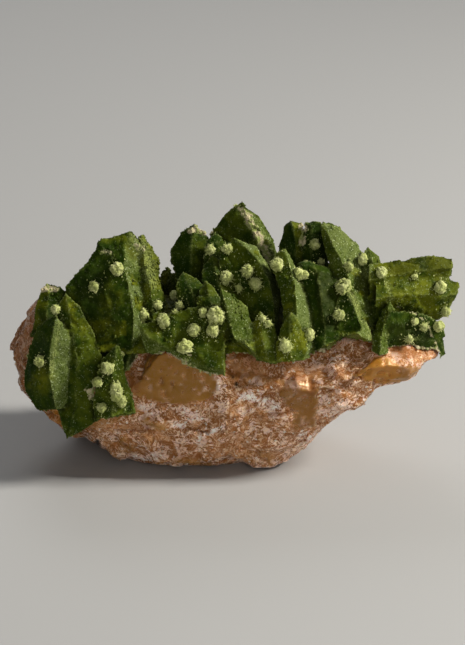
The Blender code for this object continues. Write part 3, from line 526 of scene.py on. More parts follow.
CRYSTAL_MARKS = (
    Mark("crust", ((-23.8, 23.6), (-22.3, 23.6)), 1.1),
    Mark("crust", ((-16.2, 28.1), (-15.2, 28.0)), 0.9, 0.45),
    Mark("crust", ((-12.2, 28.9), (-11.2, 28.4)), 0.8, 0.6),
    Mark("crust", ((-5.4, 30.8), (-4.6, 30.9)), 0.8, 0.7),
    Mark("crust", ((-4.2, 30.8), (-2.8, 30.6)), 1.0),
    Mark("crust", TOP_BAND, 1.05),
    Mark("crust", ((1.3, 33.2), (2.5, 31.2), (3.5, 29.4)), 0.9),
    # Pale marks: partly the frosted coat, partly painted sheen where faces caught the light.
    Mark("velvet_and_sheen", ((2.6, 32.4), (4.2, 30.2), (5.4, 27.2)), 1.3, 0.85),
    # Painted shade: marks of this layer lay near-black in the shadowed gaps between the crystals.
    Mark("painted_shade", ((10.4, 25.6), (12.6, 25.0), (13.0, 18.6), (11.0, 18.6)), 0.4, 0.7, True),
    Mark("painted_shade", ((-19.8, 24.6), (-16.0, 26.2), (-14.8, 20.0), (-15.8, 16.0), (-18.2, 19.6)), 1.0, 0.45,
         True),
    Mark("painted_shade", ((19.4, 27.6), (27.4, 27.8), (27.4, 25.6), (19.6, 25.4)), 0.4, 0.65, True),
    Mark("painted_shade", ((19.6, 18.8), (24.4, 19.0), (24.6, 16.6), (20.0, 16.2)), 0.5, 0.7, True),
    # Pale edge marks: partly the pale coat of the edges, partly painted highlight along edges and ridges
    # turned to the light.
    Mark("rim_and_highlight", TOP_BAND, 1.0),
    Mark("rim_and_highlight", ((13.6, 24.0), (15.4, 21.6), (16.6, 19.6)), 0.45, 0.9),
    Mark("rim_and_highlight", ((9.4, 14.4), (12.0, 16.2), (15.8, 17.4)), 0.6, 0.6),
    Mark("rim_and_highlight", ((-12.2, 30.2), (-10.8, 27.6), (-10.1, 24.2)), 1.2, 0.9),
    Mark("olive", ((-15.8, 30.0), (-12.8, 30.2), (-12.2, 26.0)), 1.3, 0.7),
    # Pale coat, partly painted sheen.
    Mark("velvet_and_sheen", ((-15.8, 30.0), (-13.0, 30.2)), 1.2, 0.45),
    Mark("rim_and_highlight", ((-21.5, 19.6), (-22.2, 16.0), (-22.6, 12.6)), 0.32, 0.8),
    Mark("olive", CENTRE_BAND, 1.0, 0.7),
    # Pale coat, partly painted sheen.
    Mark("velvet_and_sheen", CENTRE_BAND, 1.0, 0.35),
    Mark("velvet_and_sheen", ((19.4, 24.0), (25.6, 22.6)), 2.0, 0.55),
    Mark("crust", ((8.7, 31.2), (8.8, 30.2), (8.6, 29.0)), 0.6, 0.9),
    Mark("crust", ((20.6, 21.0), (23.0, 20.3), (24.6, 18.6), (26.0, 15.4)), 0.25, 0.6),
    Mark("crust", ((22.2, 15.5), (25.4, 15.8)), 0.7, 0.9),
    # More pale edge marks, partly painted highlight.
    Mark("rim_and_highlight", ((14.8, 22.8), (17.0, 18.6), (17.4, 16.5)), 0.55),
    Mark("rim_and_highlight", ((19.0, 25.0), (20.0, 22.0)), 0.35, 0.8),
    Mark("rim_and_highlight", ((1.6, 16.8), (3.6, 14.2)), 0.4, 0.9),
    Mark("rim_and_highlight", ((19.0, 15.0), (20.4, 13.9), (25.6, 14.3)), 0.4, 0.7),
    Mark("olive", ((-23.6, 12.6), (-24.4, 11.4)), 2.2, 0.9),
    Mark("olive", ((-20.6, 21.6), (-18.8, 18.8)), 1.8, 0.9),
    Mark("olive", ((-15.0, 23.0), (-16.0, 18.0)), 2.0, 0.6),
    Mark("olive", ((-9.6, 27.0), (-8.0, 22.6)), 2.0, 1.0),
    # Painted shade in the shadowed gaps beside the crystals.
    Mark("painted_shade", ((-9.2, 26.4), (-7.6, 22.4)), 1.4, 0.6),
    Mark("painted_shade", ((-12.6, 14.6), (-12.3, 13.6)), 0.9, 1.0),
    Mark("olive", ((19.0, 26.0), (21.0, 25.6)), 2.0, 0.9),
    Mark("olive", ((18.0, 24.0), (26.0, 23.0)), 3.0, 0.6),
    # Partly painted sheen and highlight: the top of the upper right crystal is paled where it caught the
    # light.
    Mark("velvet_and_sheen", ((11.6, 31.8), (14.6, 30.4), (17.4, 27.2), (17.4, 24.6), (14.8, 25.8), (12.4, 29.2)), 0.4,
         1.0, True),
    Mark("rim_and_highlight", ((11.6, 31.8), (14.4, 30.8), (15.2, 29.6)), 0.7, 0.35),
    Mark("velvet_and_sheen", ((12.6, 27.0), (16.8, 25.0)), 1.4, 0.7),
    Mark("rubble", ((-9.2, 26.6), (-7.6, 24.4), (-7.0, 21.8)), 1.5),
    Mark("rubble", ((-11.6, 22.4), (-9.0, 20.4), (-5.4, 22.4)), 1.4, 0.9),
    Mark("rubble", ((-11.4, 29.6), (-10.2, 27.4), (-9.6, 24.4)), 1.2, 0.8),
    Mark("rubble", ((-5.2, 21.4), (-2.6, 20.6), (-1.4, 18.6)), 1.6, 0.8),
    Mark("rubble", ((8.7, 31.2), (8.8, 28.0)), 0.6, 0.7),
    Mark("rubble", ((-23.8, 24.0), (-22.0, 22.4)), 1.0, 0.8),
    Mark("rubble", ((-5.0, 31.0), (-2.6, 30.4)), 0.9, 0.8),
    Mark("rubble", ((20.4, 21.6), (23.6, 20.2)), 0.9, 0.3),
    Mark("rubble", ((-17.6, 13.6), (-15.8, 11.8), (-14.6, 8.6)), 1.4, 0.7),
    Mark("rubble", ((-0.4, 23.8), (1.4, 19.6)), 0.5, 0.5),
    Mark("rubble", ((18.6, 20.4), (19.8, 16.0)), 0.9, 0.5),
    Mark("rubble", ((-16.4, 28.6), (-15.2, 27.8)), 0.9, 0.7),
)

LARGE_WINDOW = (
    (-10.6, 14.8), (-11.9, 10.4), (-11.4, 10.0), (-9.0, 9.3), (-6.4, 9.1), (-3.0, 9.8), (-2.3, 10.6),
    (-2.1, 12.0), (-3.0, 13.4), (-7.75, 15.0),
)
RIGHT_WINDOW = (
    (15.8, 12.6), (17.9, 14.7), (19.2, 14.5), (20.5, 13.8), (22.9, 13.6), (25.9, 13.0), (23.8, 12.0),
    (18.2, 11.5),
)
AMBER_PART = ((15.8, 12.6), (17.9, 14.7), (19.2, 14.5), (20.5, 13.8), (20.5, 12.0), (18.2, 11.5))
CLEFT = ((-0.4, 12.7), (1.3, 17.0), (3.9, 13.4), (3.6, 12.7))
STANDING_FACE = ((6.3, 11.0), (10.8, 10.7), (10.1, 6.0), (7.8, 6.0), (7.6, 8.2), (6.1, 10.1))
LEFT_EDGE = ((-13.6, 15.2), (-12.8, 13.2), (-12.1, 11.0))

CALCITE_MARKS = (
    Mark("window", LARGE_WINDOW, 0.35, 1.0, True),
    Mark("window", CLEFT, 0.3, 0.55, True),
    # Painted shade, in the calcite's own brown: the cleft, the calcite under and beside the crystals where
    # shadow falls, and a few brightly lit spots are deepened.
    Mark("dark_and_shade", CLEFT, 0.3, 0.75, True),
    Mark("dark_and_shade", ((4.1, 12.3), (4.3, 14.4), (8.4, 14.6), (8.4, 12.4)), 0.5, 0.45, True),
    Mark("window", STANDING_FACE, 0.25, 0.9, True),
    Mark("dark_and_shade", STANDING_FACE, 0.4, 0.25, True),
    Mark("window", ((8.9, 12.0), (9.2, 14.0), (12.0, 14.1), (11.6, 12.0)), 0.3, 0.35, True),
    Mark("dark_and_shade", LEFT_EDGE, 1.1, 0.85),
    Mark("window", LEFT_EDGE, 1.1, 0.7),
    Mark("window", RIGHT_WINDOW, 0.3, 0.9, True),
    Mark("amber", AMBER_PART, 0.6, 0.8, True),
    Mark("amber", ((-23.4, 9.6), (-21.6, 6.6)), 1.8, 1.0),
    Mark("window", ((-11.0, 6.9), (-8.8, 5.8)), 1.0, 0.8),
    Mark("window", ((-14.0, 4.2), (-12.8, 3.2)), 0.9, 0.8),
    Mark("window", ((-7.0, 1.8), (-3.0, 1.2)), 0.8, 0.8),
    Mark("window", ((3.6, 2.4), (4.8, 1.8)), 0.7, 0.8),
    Mark("window", ((-19.4, 5.6), (-15.4, 6.9), (-11.8, 8.4)), 0.9, 0.7),
    Mark("window", ((-0.2, 12.4), (2.8, 12.4), (6.0, 11.8), (12.1, 10.9)), 0.55, 0.6),
    Mark("frost", ((-11.4, 8.8), (-9.8, 7.4)), 0.9, 0.5),
    Mark("frost", ((-2.4, 12.4), (-1.9, 11.0)), 0.8, 0.8),
    Mark("frost", ((-6.0, 8.0), (-3.9, 7.0)), 1.1, 0.85),
    Mark("frost", ((1.3, 10.2), (3.9, 9.2), (5.2, 8.4)), 1.2, 0.7),
    Mark("frost", ((2.4, 6.6), (3.0, 6.9)), 0.7, 0.7),
    Mark("frost", ((8.8, 4.6), (12.1, 4.2)), 1.2, 0.5),
    Mark("frost", ((11.4, 7.6), (13.6, 8.6)), 1.0, 0.4),
    Mark("frost", ((-7.4, 6.3), (-6.4, 6.0)), 0.6, 1.0),
    Mark("frost", ((-4.3, 4.3), (-2.6, 5.2), (-1.4, 6.0)), 0.6, 1.0),
    Mark("frost", ((-12.8, 2.4), (-9.6, 2.2)), 0.7, 0.5),
    Mark("frost", ((11.6, 15.9), (15.6, 17.6)), 0.8, 0.2),
    Mark("frost", ((26.6, 13.2), (26.9, 15.0)), 0.6, 0.5),
    # Painted shade: more calcite beside and under the crystals is deepened to brown.
    Mark("dark_and_shade", ((-9.0, 3.4), (-6.0, 2.6)), 1.4, 0.35),
    Mark("dark_and_shade", ((-28.9, 14.0), (-24.6, 23.8), (-25.0, 15.0), (-26.6, 12.0)), 0.6, 0.6, True),
    Mark("dark_and_shade", ((10.6, 15.4), (13.6, 16.6), (17.0, 17.6)), 0.9, 0.5),
    Mark("dark_and_shade", ((19.6, 15.8), (22.0, 15.4), (24.4, 15.4), (27.4, 15.4)), 1.3, 1.0),
    Mark("dark_and_shade", ((7.6, 12.6), (9.8, 11.6), (9.8, 10.6)), 1.2, 1.0),
    Mark("dark_and_shade", ((9.2, 13.0), (11.6, 13.2)), 1.0, 0.55),
    Mark("soot", ((0.05, 12.4), (0.15, 12.3)), 0.30, 1.0),
    Mark("soot", ((0.65, 11.7), (0.75, 11.6)), 0.28, 1.0),
    Mark("soot", ((-0.85, 10.1), (-0.8, 10.0)), 0.25, 1.0),
    Mark("soot", ((-17.0, 4.1), (-16.5, 3.3)), 0.40, 1.0),
)

# The three ways in which calcite splits, the least share of a facet's lean, and the scale on which the
# facets' random numbers are read.
CLEAVAGES = (Vector((0.80, 0.35, 0.48)), Vector((-0.62, -0.40, 0.67)), Vector((0.12, 0.55, -0.82)))
LEAST_LEAN = 0.4
DRAW_SPREAD = 53.1

# A distance past everything, and one too small to matter.
FAR = 1e9
TINY = 1e-6


def shown(name: str, mesh: bpy.types.Mesh) -> bpy.types.Object:
    """Puts a mesh in the scene as an object."""
    obj = bpy.data.objects.new(name, mesh)
    bpy.context.scene.collection.objects.link(obj)
    return obj


def smooth_mesh(name: str, bm: bmesh.types.BMesh) -> bpy.types.Mesh:
    """Stores a shape in millimetres as a smooth mesh in metres, and frees it."""
    mesh = bpy.data.meshes.new(name)
    bmesh.ops.scale(bm, vec=(MM,) * 3, verts=bm.verts)
    for face in bm.faces:
        face.smooth = True
    bm.to_mesh(mesh)
    bm.free()
    return mesh


def add_layer(mesh: bpy.types.Mesh, name: str, values: np.ndarray) -> None:
    """Adds an attribute with a value for each vertex."""
    attribute = mesh.attributes.new(name, "FLOAT", "POINT")
    attribute.data.foreach_set("value", values.astype(np.float32))


def packed_shape(node: str) -> bmesh.types.BMesh:
    """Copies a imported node's mesh, in millimetres."""
    bm = bmesh.new()
    bm.from_mesh(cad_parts[node].data)
    bmesh.ops.scale(bm, vec=(PER_METRE,) * 3, verts=bm.verts)
    return bm


def packed_tree(node: str) -> BVHTree:
    """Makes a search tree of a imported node's surface, in millimetres."""
    bm = packed_shape(node)
    tree = BVHTree.FromBMesh(bm)
    bm.free()
    return tree


def any_way(draw: random.Random, forward: float = 0.0, spread: float = 1.0) -> Vector:
    """Draws a vector that points any way, or rather more to the front. Its length isn't 1.

    Args:
        draw: The source of random numbers.
        forward: How much more it points to the front.
        spread: How long it is on each axis.

    Returns:
        The vector.
    """
    return Vector((draw.gauss(0, spread), draw.gauss(0, spread) - forward, draw.gauss(0, spread)))


def upright(way: Vector) -> Matrix:
    """The turn that stands a shape's Z along a direction."""
    return way.to_track_quat("Z", "Y").to_matrix().to_4x4()


def placed(point: Vector, turn: Matrix, sizes: tuple[float, float, float]) -> Matrix:
    """The transform of a small crystal at a point, turned and of some size."""
    return Matrix.Translation(point) @ turn @ Matrix.Diagonal((*sizes, 1.0))


def distance_to_line(points: np.ndarray, line: list) -> np.ndarray:
    """Measures how far points are from a line of straight stretches, in the plane or in space.

    Args:
        points: The points, one row each.
        line: The line's corners.

    Returns:
        The distance of each point.
    """
    best = np.full(len(points), FAR)
    for start, end in zip(line, line[1:]):
        a, b = np.array(start), np.array(end)
        along = b - a
        share = np.clip((points - a) @ along / max(along @ along, TINY), 0.0, 1.0)
        best = np.minimum(best, np.linalg.norm(points - a - share[:, None] * along, axis=1))
    return best


def inside_outline(points: np.ndarray, corners: tuple) -> np.ndarray:
    """Tells which points of the plane lie inside an outline.

    Args:
        points: The points, one row each.
        corners: The outline's corners.

    Returns:
        True for each point inside.
    """
    inside = np.zeros(len(points), bool)
    for (x0, y0), (x1, y1) in zip(corners, corners[1:] + corners[:1]):
        if y0 == y1:
            continue
        crosses = (points[:, 1] < y0) != (points[:, 1] < y1)
        inside ^= crosses & (points[:, 0] < x0 + (points[:, 1] - y0) / (y1 - y0) * (x1 - x0))
    return inside


def fade(distance: np.ndarray, width: float) -> np.ndarray:
    """Falls smoothly from 1 at no distance to 0 past the width."""
    share = np.clip(1.0 - distance / width, 0.0, 1.0)
    return share * share * (3.0 - 2.0 * share)


def facet(point: Vector, size: float, lean: float, bowl: float) -> tuple[float, Vector]:
    """Works out a broken surface of slightly dished facets that meet in sharp ridges.

    Args:
        point: The place.
        size: The size of a facet.
        lean: How steeply a facet may lean.
        bowl: How dished a facet is.

    Returns:
        The height there, and three random numbers from 0 to 1 that the whole facet shares.
    """
    scaled = point / size
    height, shared = FAR, None
    for near in noise.voronoi(scaled)[1]:
        draw = noise.cell_vector(near * DRAW_SPREAD)
        offset = scaled - near
        cleavage = CLEAVAGES[int(draw.x * 2.999)]
        value = offset.dot(cleavage) * lean * (LEAST_LEAN + draw.y) + bowl * offset.length_squared
        if value < height:
            height, shared = value, draw
    return height * size, shared


class SolidCopy:
    """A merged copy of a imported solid, meshed evenly in millimetres, that finer relief is worked into."""

    def __init__(self, node: str, voxel: float) -> None:
        """Meshes the copy.

        Args:
            node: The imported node.
            voxel: The size of the new faces, in millimetres.
        """
        bm = packed_shape(node)
        bmesh.ops.remove_doubles(bm, verts=bm.verts, dist=MERGE_DISTANCE)
        self.tree = BVHTree.FromBMesh(bm)
        mesh = bpy.data.meshes.new(node + "_copy")
        bm.to_mesh(mesh)
        bm.free()
        obj = shown(node + "_copy", mesh)
        remesh = obj.modifiers.new("even", "REMESH")
        remesh.mode = "VOXEL"
        remesh.voxel_size = voxel
        graph = bpy.context.evaluated_depsgraph_get()
        even = bpy.data.meshes.new_from_object(obj.evaluated_get(graph))
        self.bm = bmesh.new()
        self.bm.from_mesh(even)
        self.bm.verts.ensure_lookup_table()
        bpy.data.objects.remove(obj)
        for vertex in self.bm.verts:
            vertex.co = self.tree.find_nearest(vertex.co)[0]
        self.bm.normal_update()
        self.points = np.array([vertex.co for vertex in self.bm.verts])
        self.layers: dict[str, np.ndarray] = {}

    def bend(self, rounds: int) -> np.ndarray:
        """Measures how far each vertex stands out of its surroundings.

        Args:
            rounds: How often the surroundings are smoothed before they are compared.

        Returns:
            Millimetres, above zero on a ridge and below zero in a dip.
        """
        smooth = self.bm.copy()
        for _ in range(rounds):
            bmesh.ops.smooth_vert(smooth, verts=smooth.verts, factor=0.5,
                                  use_axis_x=True, use_axis_y=True, use_axis_z=True)
        out = np.array([
            (vertex.co - other.co).dot(vertex.normal) for vertex, other in zip(self.bm.verts, smooth.verts)
        ])
        smooth.free()
        return out

    def mark(self, marks: tuple[Mark, ...], ragged: float = 0.35, wave: float = 0.7) -> None:
        """Lays marks on the layers, where the eye sees the surface.

        Args:
            marks: The marks.
            ragged: How uneven their borders are, in millimetres.
            wave: The length of the unevenness, in millimetres.
        """
        seen = EYE.sees(self.tree, self.points)
        flat = EYE.project(self.points)
        wander = np.array([noise.noise(vertex.co / wave) for vertex in self.bm.verts]) * ragged
        for mark in marks:
            line = list(mark.line)
            distance = distance_to_line(flat, line + line[:1] if mark.filled else line)
            if mark.filled:
                distance[inside_outline(flat, mark.line)] = 0.0
            share = mark.strength * fade(np.maximum(distance + wander, 0.0), mark.width) * seen
            self.layers[mark.layer] = np.maximum(self.layers.get(mark.layer, 0.0), share)

    def piece(self, name: str) -> bpy.types.Object:
        """Stores the copy and its layers as an object, in metres, thinned out if it has too many faces.

        Args:
            name: The piece's name.

        Returns:
            The object.
        """
        mesh = smooth_mesh(name, self.bm)
        for layer, values in self.layers.items():
            add_layer(mesh, layer, np.clip(values, 0.0, 1.0))
        obj = shown(name, mesh)
        triangles = sum(len(face.vertices) - 2 for face in mesh.polygons)
        if triangles > MOST_TRIANGLES:
            fewer = obj.modifiers.new("fewer", "DECIMATE")
            fewer.ratio = MOST_TRIANGLES / triangles
            graph = bpy.context.evaluated_depsgraph_get()
            obj.data = bpy.data.meshes.new_from_object(obj.evaluated_get(graph))
            obj.modifiers.clear()
            obj.data.name = name
        LOG.info("%s: %d triangles before, at most %d after", name, triangles, MOST_TRIANGLES)
        return obj


def joined(name: str, template: bmesh.types.BMesh, places: list[Matrix]) -> bpy.types.Object:
    """Joins many transformed copies of a small shape in one mesh.

    Args:
        name: The piece's name.
        template: The small shape, in millimetres.
        places: A transform for each copy.

    Returns:
        The object, in metres.
    """
    shape = np.array([vertex.co for vertex in template.verts])
    faces = np.array([[vertex.index for vertex in face.verts] for face in template.faces])
    turns = np.array([[list(row) for row in place] for place in places])
    points = np.einsum("nij,vj->nvi", turns[:, :3, :3], shape) + turns[:, None, :3, 3]
    starts = np.arange(len(places))[:, None, None] * len(shape)
    corners = (faces[None] + starts).reshape(-1, faces.shape[1])
    mesh = bpy.data.meshes.new(name)
    mesh.from_pydata((points.reshape(-1, 3) * MM).tolist(), [], corners.tolist())
    return shown(name, mesh)


class Nodes:
    """A small writer of shader node trees."""

    def __init__(self, name: str) -> None:
        """Starts a material with a Principled shader.

        Args:
            name: The material's name.
        """
        self.material = bpy.data.materials.new(name)
        self.material.use_nodes = True
        self.tree = self.material.node_tree
        self.shader = self.tree.nodes["Principled BSDF"]
        self.coordinates = self.tree.nodes.new("ShaderNodeTexCoord").outputs["Object"]

    def link(self, source: object, target: object) -> None:
        """Links two sockets, or sets the target where the source is a plain value."""
        if isinstance(source, bpy.types.NodeSocket):
            self.tree.links.new(source, target)
        else:
            target.default_value = source

    def layer(self, name: str) -> bpy.types.NodeSocket:
        """The value of a mesh attribute."""
        node = self.tree.nodes.new("ShaderNodeAttribute")
        node.attribute_name = name
        return node.outputs["Fac"]

    def math(self, operation: str, first: object, second: object = 0.0,
             third: object = 0.0) -> bpy.types.NodeSocket:
        """A Math node.

        Args:
            operation: Blender's name of the operation.
            first: The first value or socket.
            second: The second value or socket.
            third: The third value or socket.

        Returns:
            The result's socket.
        """
        node = self.tree.nodes.new("ShaderNodeMath")
        node.operation = operation
        for socket, value in zip(node.inputs, (first, second, third)):
            self.link(value, socket)
        return node.outputs[0]

    def vector(self, operation: str, first: object, second: object) -> bpy.types.NodeSocket:
        """The result of a Vector Math node."""
        node = self.tree.nodes.new("ShaderNodeVectorMath")
        node.operation = operation
        self.link(first, node.inputs[0])
        self.link(second, node.inputs["Scale"] if operation == "SCALE" else node.inputs[1])
        return node.outputs["Value" if operation == "DOT_PRODUCT" else "Vector"]

    def scaled(self, size: float) -> bpy.types.NodeSocket:
        """The coordinates, with a size in millimetres as their unit."""
        return self.vector("SCALE", self.coordinates, PER_METRE / size)

    def voronoi(self, place: bpy.types.NodeSocket, scale: float = 1.0) -> bpy.types.Node:
        """A Voronoi Texture node."""
        node = self.tree.nodes.new("ShaderNodeTexVoronoi")
        node.inputs["Scale"].default_value = scale
        self.link(place, node.inputs["Vector"])
        return node

    def clouds(self, place: bpy.types.NodeSocket, scale: float, detail: float) -> bpy.types.Node:
        """A Noise Texture node."""
        node = self.tree.nodes.new("ShaderNodeTexNoise")
        node.inputs["Scale"].default_value = scale
        node.inputs["Detail"].default_value = detail
        self.link(place, node.inputs["Vector"])
        return node

    def noise(self, size: float, detail: float = 3.0, roughness: float = 0.55,
              twist: float = 0.0) -> bpy.types.NodeSocket:
        """Cloudy noise.

        Args:
            size: The size of a cloud, in millimetres.
            detail: The number of finer octaves.
            roughness: How strong the finer octaves are.
            twist: How far the clouds are pulled about.

        Returns:
            A socket from 0 to 1, about 0.5 on average.
        """
        node = self.clouds(self.coordinates, PER_METRE / size, detail)
        node.inputs["Roughness"].default_value = roughness
        node.inputs["Distortion"].default_value = twist
        return node.outputs["Fac"]

    def cells(self, size: float) -> bpy.types.NodeSocket:
        """Round grains of a size in millimetres: a socket that is 0 in the middle of a grain."""
        return self.voronoi(self.coordinates, PER_METRE / size).outputs["Distance"]

    def facets(self, size: float) -> tuple[bpy.types.NodeSocket, bpy.types.NodeSocket]:
        """Flat facets that each lean their own way.

        Args:
            size: The size of a facet, in millimetres.

        Returns:
            The height, from about -0.5 to 0.5, and a random colour for each facet.
        """
        scaled = self.scaled(size)
        cell = self.voronoi(scaled)
        offset = self.vector("SUBTRACT", scaled, cell.outputs["Position"])
        lean = self.vector("SUBTRACT", cell.outputs["Color"], (0.5, 0.5, 0.5))
        return self.vector("DOT_PRODUCT", offset, lean), cell.outputs["Color"]

    def crackle(self, size: float, twist: float) -> bpy.types.NodeSocket:
        """The distance from a net of bent cracks.

        Args:
            size: The size of a mesh of the net, in millimetres.
            twist: How far the cracks are bent, as a share of that size.

        Returns:
            A socket that is 0 on a crack.
        """
        net = self.voronoi(self.bent(self.scaled(size), 1.3, twist))
        net.feature = "DISTANCE_TO_EDGE"
        return net.outputs["Distance"]

    def bent(self, place: bpy.types.NodeSocket, scale: float, reach: float) -> bpy.types.NodeSocket:
        """Coordinates pulled about by clouds of a scale, as far as the reach."""
        pull = self.clouds(place, scale, 2.0).outputs["Color"]
        return self.vector("ADD", place, self.vector("SCALE", pull, reach))

    def streaks(self, patch: float, width: float, length: float) -> bpy.types.NodeSocket:
        """Fine curled streaks, which run another way in each patch.

        Args:
            patch: The size of a patch, in millimetres.
            width: The width of a streak.
            length: Its length.

        Returns:
            A socket from 0 to 1, about 0.5 on average.
        """
        moved = self.bent(self.scaled(patch), 1.6, 0.9)
        turn = self.tree.nodes.new("ShaderNodeVectorRotate")
        turn.rotation_type = "EULER_XYZ"
        self.link(moved, turn.inputs["Vector"])
        angles = self.vector("SCALE", self.voronoi(moved).outputs["Color"], math.tau)
        self.link(angles, turn.inputs["Rotation"])
        long = self.vector("MULTIPLY", turn.outputs[0], (patch / width, patch / length, patch / length))
        return self.clouds(long, 1.0, 1.5).outputs["Fac"]

    def step(self, value: object, low: float, high: float, start: float = 0.0,
             end: float = 1.0) -> bpy.types.NodeSocket:
        """Maps a value smoothly from low..high to start..end.

        Args:
            value: The value or socket.
            low: Where the change begins.
            high: Where it ends.
            start: The result at low.
            end: The result at high.

        Returns:
            The result's socket.
        """
        node = self.tree.nodes.new("ShaderNodeMapRange")
        node.interpolation_type = "SMOOTHSTEP"
        self.link(value, node.inputs["Value"])
        for name, number in (("From Min", low), ("From Max", high), ("To Min", start), ("To Max", end)):
            node.inputs[name].default_value = number
        return node.outputs["Result"]

    def mix(self, share: object, first: object, second: object) -> bpy.types.NodeSocket:
        """Mixes two colours.

        Args:
            share: How much of the second there is.
            first: A colour or socket.
            second: A colour or socket.

        Returns:
            The colour's socket.
        """
        node = self.tree.nodes.new("ShaderNodeMix")
        node.data_type = "RGBA"
        self.link(share, node.inputs["Factor"])
        for socket, colour in ((node.inputs[6], first), (node.inputs[7], second)):
            self.link((*colour, 1.0) if isinstance(colour, tuple) else colour, socket)
        return node.outputs[2]

    def bump(self, height: object, depth: float, strength: float,
             below: object = None) -> bpy.types.NodeSocket:
        """A Bump node.

        Args:
            height: The height, from 0 to 1.
            depth: What a height of 1 is, in millimetres.
            strength: The bump's strength.
            below: The normal that it is laid over.

        Returns:
            The normal's socket.
        """
        node = self.tree.nodes.new("ShaderNodeBump")
        self.link(height, node.inputs["Height"])
        node.inputs["Distance"].default_value = depth * MM
        node.inputs["Strength"].default_value = strength
        if below is not None:
            self.link(below, node.inputs["Normal"])
        return node.outputs["Normal"]

    def done(self, colour: object, roughness: object, normal: object, **plain: object) -> bpy.types.Material:
        """Links the shader and returns the material.

        Args:
            colour: The base colour.
            roughness: The roughness.
            normal: The normal.
            **plain: Plain values for other sockets, by their names with underscores for spaces.

        Returns:
            The material.
        """
        self.link(colour, self.shader.inputs["Base Color"])
        self.link(roughness, self.shader.inputs["Roughness"])
        if normal is not None:
            self.link(normal, self.shader.inputs["Normal"])
        for name, value in plain.items():
            self.shader.inputs[name.replace("_", " ")].default_value = value
        return self.material


@dataclass(frozen=True)
class DuftiteFinish:
    """The green coat of the crystals, from deep green and smooth to pale velvet, with beige crusts. Part of
    it is painted light: pale edges and ridges stand partly for highlights, pale faces partly for sheen, pale
    specks partly for glints, and near-black for the shade in crevices.
    """

    # The deepest green; on faces turned from the light it also stands for painted shade.
    dark_and_shade: tuple = (0.010, 0.027, 0.001)
    leaf: tuple = (0.040, 0.064, 0.004)
    # Pale coat; on faces turned to the light it also stands for painted sheen.
    velvet_and_sheen: tuple = (0.112, 0.146, 0.042)
    olive: tuple = (0.136, 0.148, 0.005)
    # Pale yellow-green of the edges, partly painted highlight; the crusts also use it.
    rim_and_highlight: tuple = (0.270, 0.310, 0.095)
    crust: tuple = (0.500, 0.440, 0.270)
    # Near-black, for the painted shade in crevices and gaps.
    painted_shade: tuple = (0.006, 0.007, 0.001)
    # Pale specks: partly pale grains, partly painted glints.
    speck_and_glint: tuple = (0.430, 0.500, 0.270)

    def material(self) -> bpy.types.Material:
        """Writes the material."""
        nodes = Nodes("duftite_coat")
        velvet_and_sheen, olive, rim_and_highlight = nodes.layer("velvet_and_sheen"), nodes.layer("olive"), nodes.layer("rim_and_highlight")
        crust, painted_shade = nodes.layer("crust"), nodes.layer("painted_shade")
        cloud = nodes.noise(2.2, 4.0, 0.62)
        mottle = nodes.noise(0.8, 3.0, 0.6)
        grain = nodes.noise(0.19, 3.0, 0.7)
        speck = nodes.cells(0.24)
        tilt, tint = nodes.facets(0.28)
        # Painted light, in part: the pale share lightens faces turned to the light.
        tone = nodes.math("ADD", velvet_and_sheen, nodes.step(cloud, 0.32, 0.68, -0.16, 0.16))
        tone = nodes.math("ADD", tone, nodes.step(mottle, 0.35, 0.65, -0.10, 0.10))
        grainy = nodes.step(velvet_and_sheen, 0.1, 0.9, 0.12, 0.75)
        fine = nodes.math("MULTIPLY", nodes.step(grain, 0.36, 0.64, -0.5, 0.5), grainy)
        tone = nodes.math("ADD", tone, fine)
        colour = nodes.mix(nodes.step(tone, -0.05, 0.52), self.dark_and_shade, self.leaf)
        colour = nodes.mix(nodes.step(tone, 0.42, 1.05), colour, self.velvet_and_sheen)
        yellow = nodes.math("MULTIPLY", olive, nodes.step(cloud, 0.36, 0.62, 0.10, 0.9))
        colour = nodes.mix(yellow, colour, self.olive)
        # Pale specks, more on the pale faces: partly pale grains, partly painted glints.
        many = nodes.math("MULTIPLY_ADD", velvet_and_sheen, 0.75, 0.16)
        pale = nodes.math("MULTIPLY", nodes.step(speck, 0.42, 0.16), many)
        colour = nodes.mix(nodes.math("MULTIPLY", pale, nodes.step(tint, 0.50, 0.72)), colour, self.speck_and_glint)
        # Painted shade: crevices and shadowed gaps are blackened.
        colour = nodes.mix(nodes.math("MULTIPLY", painted_shade, 0.75), colour, self.painted_shade)
        # Painted highlight, in part: edges and ridges are lightened.
        lit = nodes.math("MULTIPLY", rim_and_highlight, nodes.step(grain, 0.40, 0.60, 0.10, 0.9))
        colour = nodes.mix(lit, colour, self.rim_and_highlight)
        crusty = nodes.step(nodes.math("ADD", crust, nodes.math("MULTIPLY", grain, 0.6)), 0.62, 0.92)
        colour = nodes.mix(crusty, colour, nodes.mix(nodes.step(mottle, 0.42, 0.60), self.crust, self.rim_and_highlight))
        rough_height = nodes.math("MULTIPLY", grain, nodes.step(velvet_and_sheen, 0.0, 0.9, 0.35, 1.0))
        normal = nodes.bump(rough_height, 0.13, 0.8)
        normal = nodes.bump(tilt, 0.14, 0.5, normal)
        roughness = nodes.step(tone, 0.0, 0.8, 0.52, 0.66)
        return nodes.done(colour, roughness, normal, Specular_IOR_Level=0.10,
                          Specular_Tint=(0.80, 0.90, 0.35, 1.0))


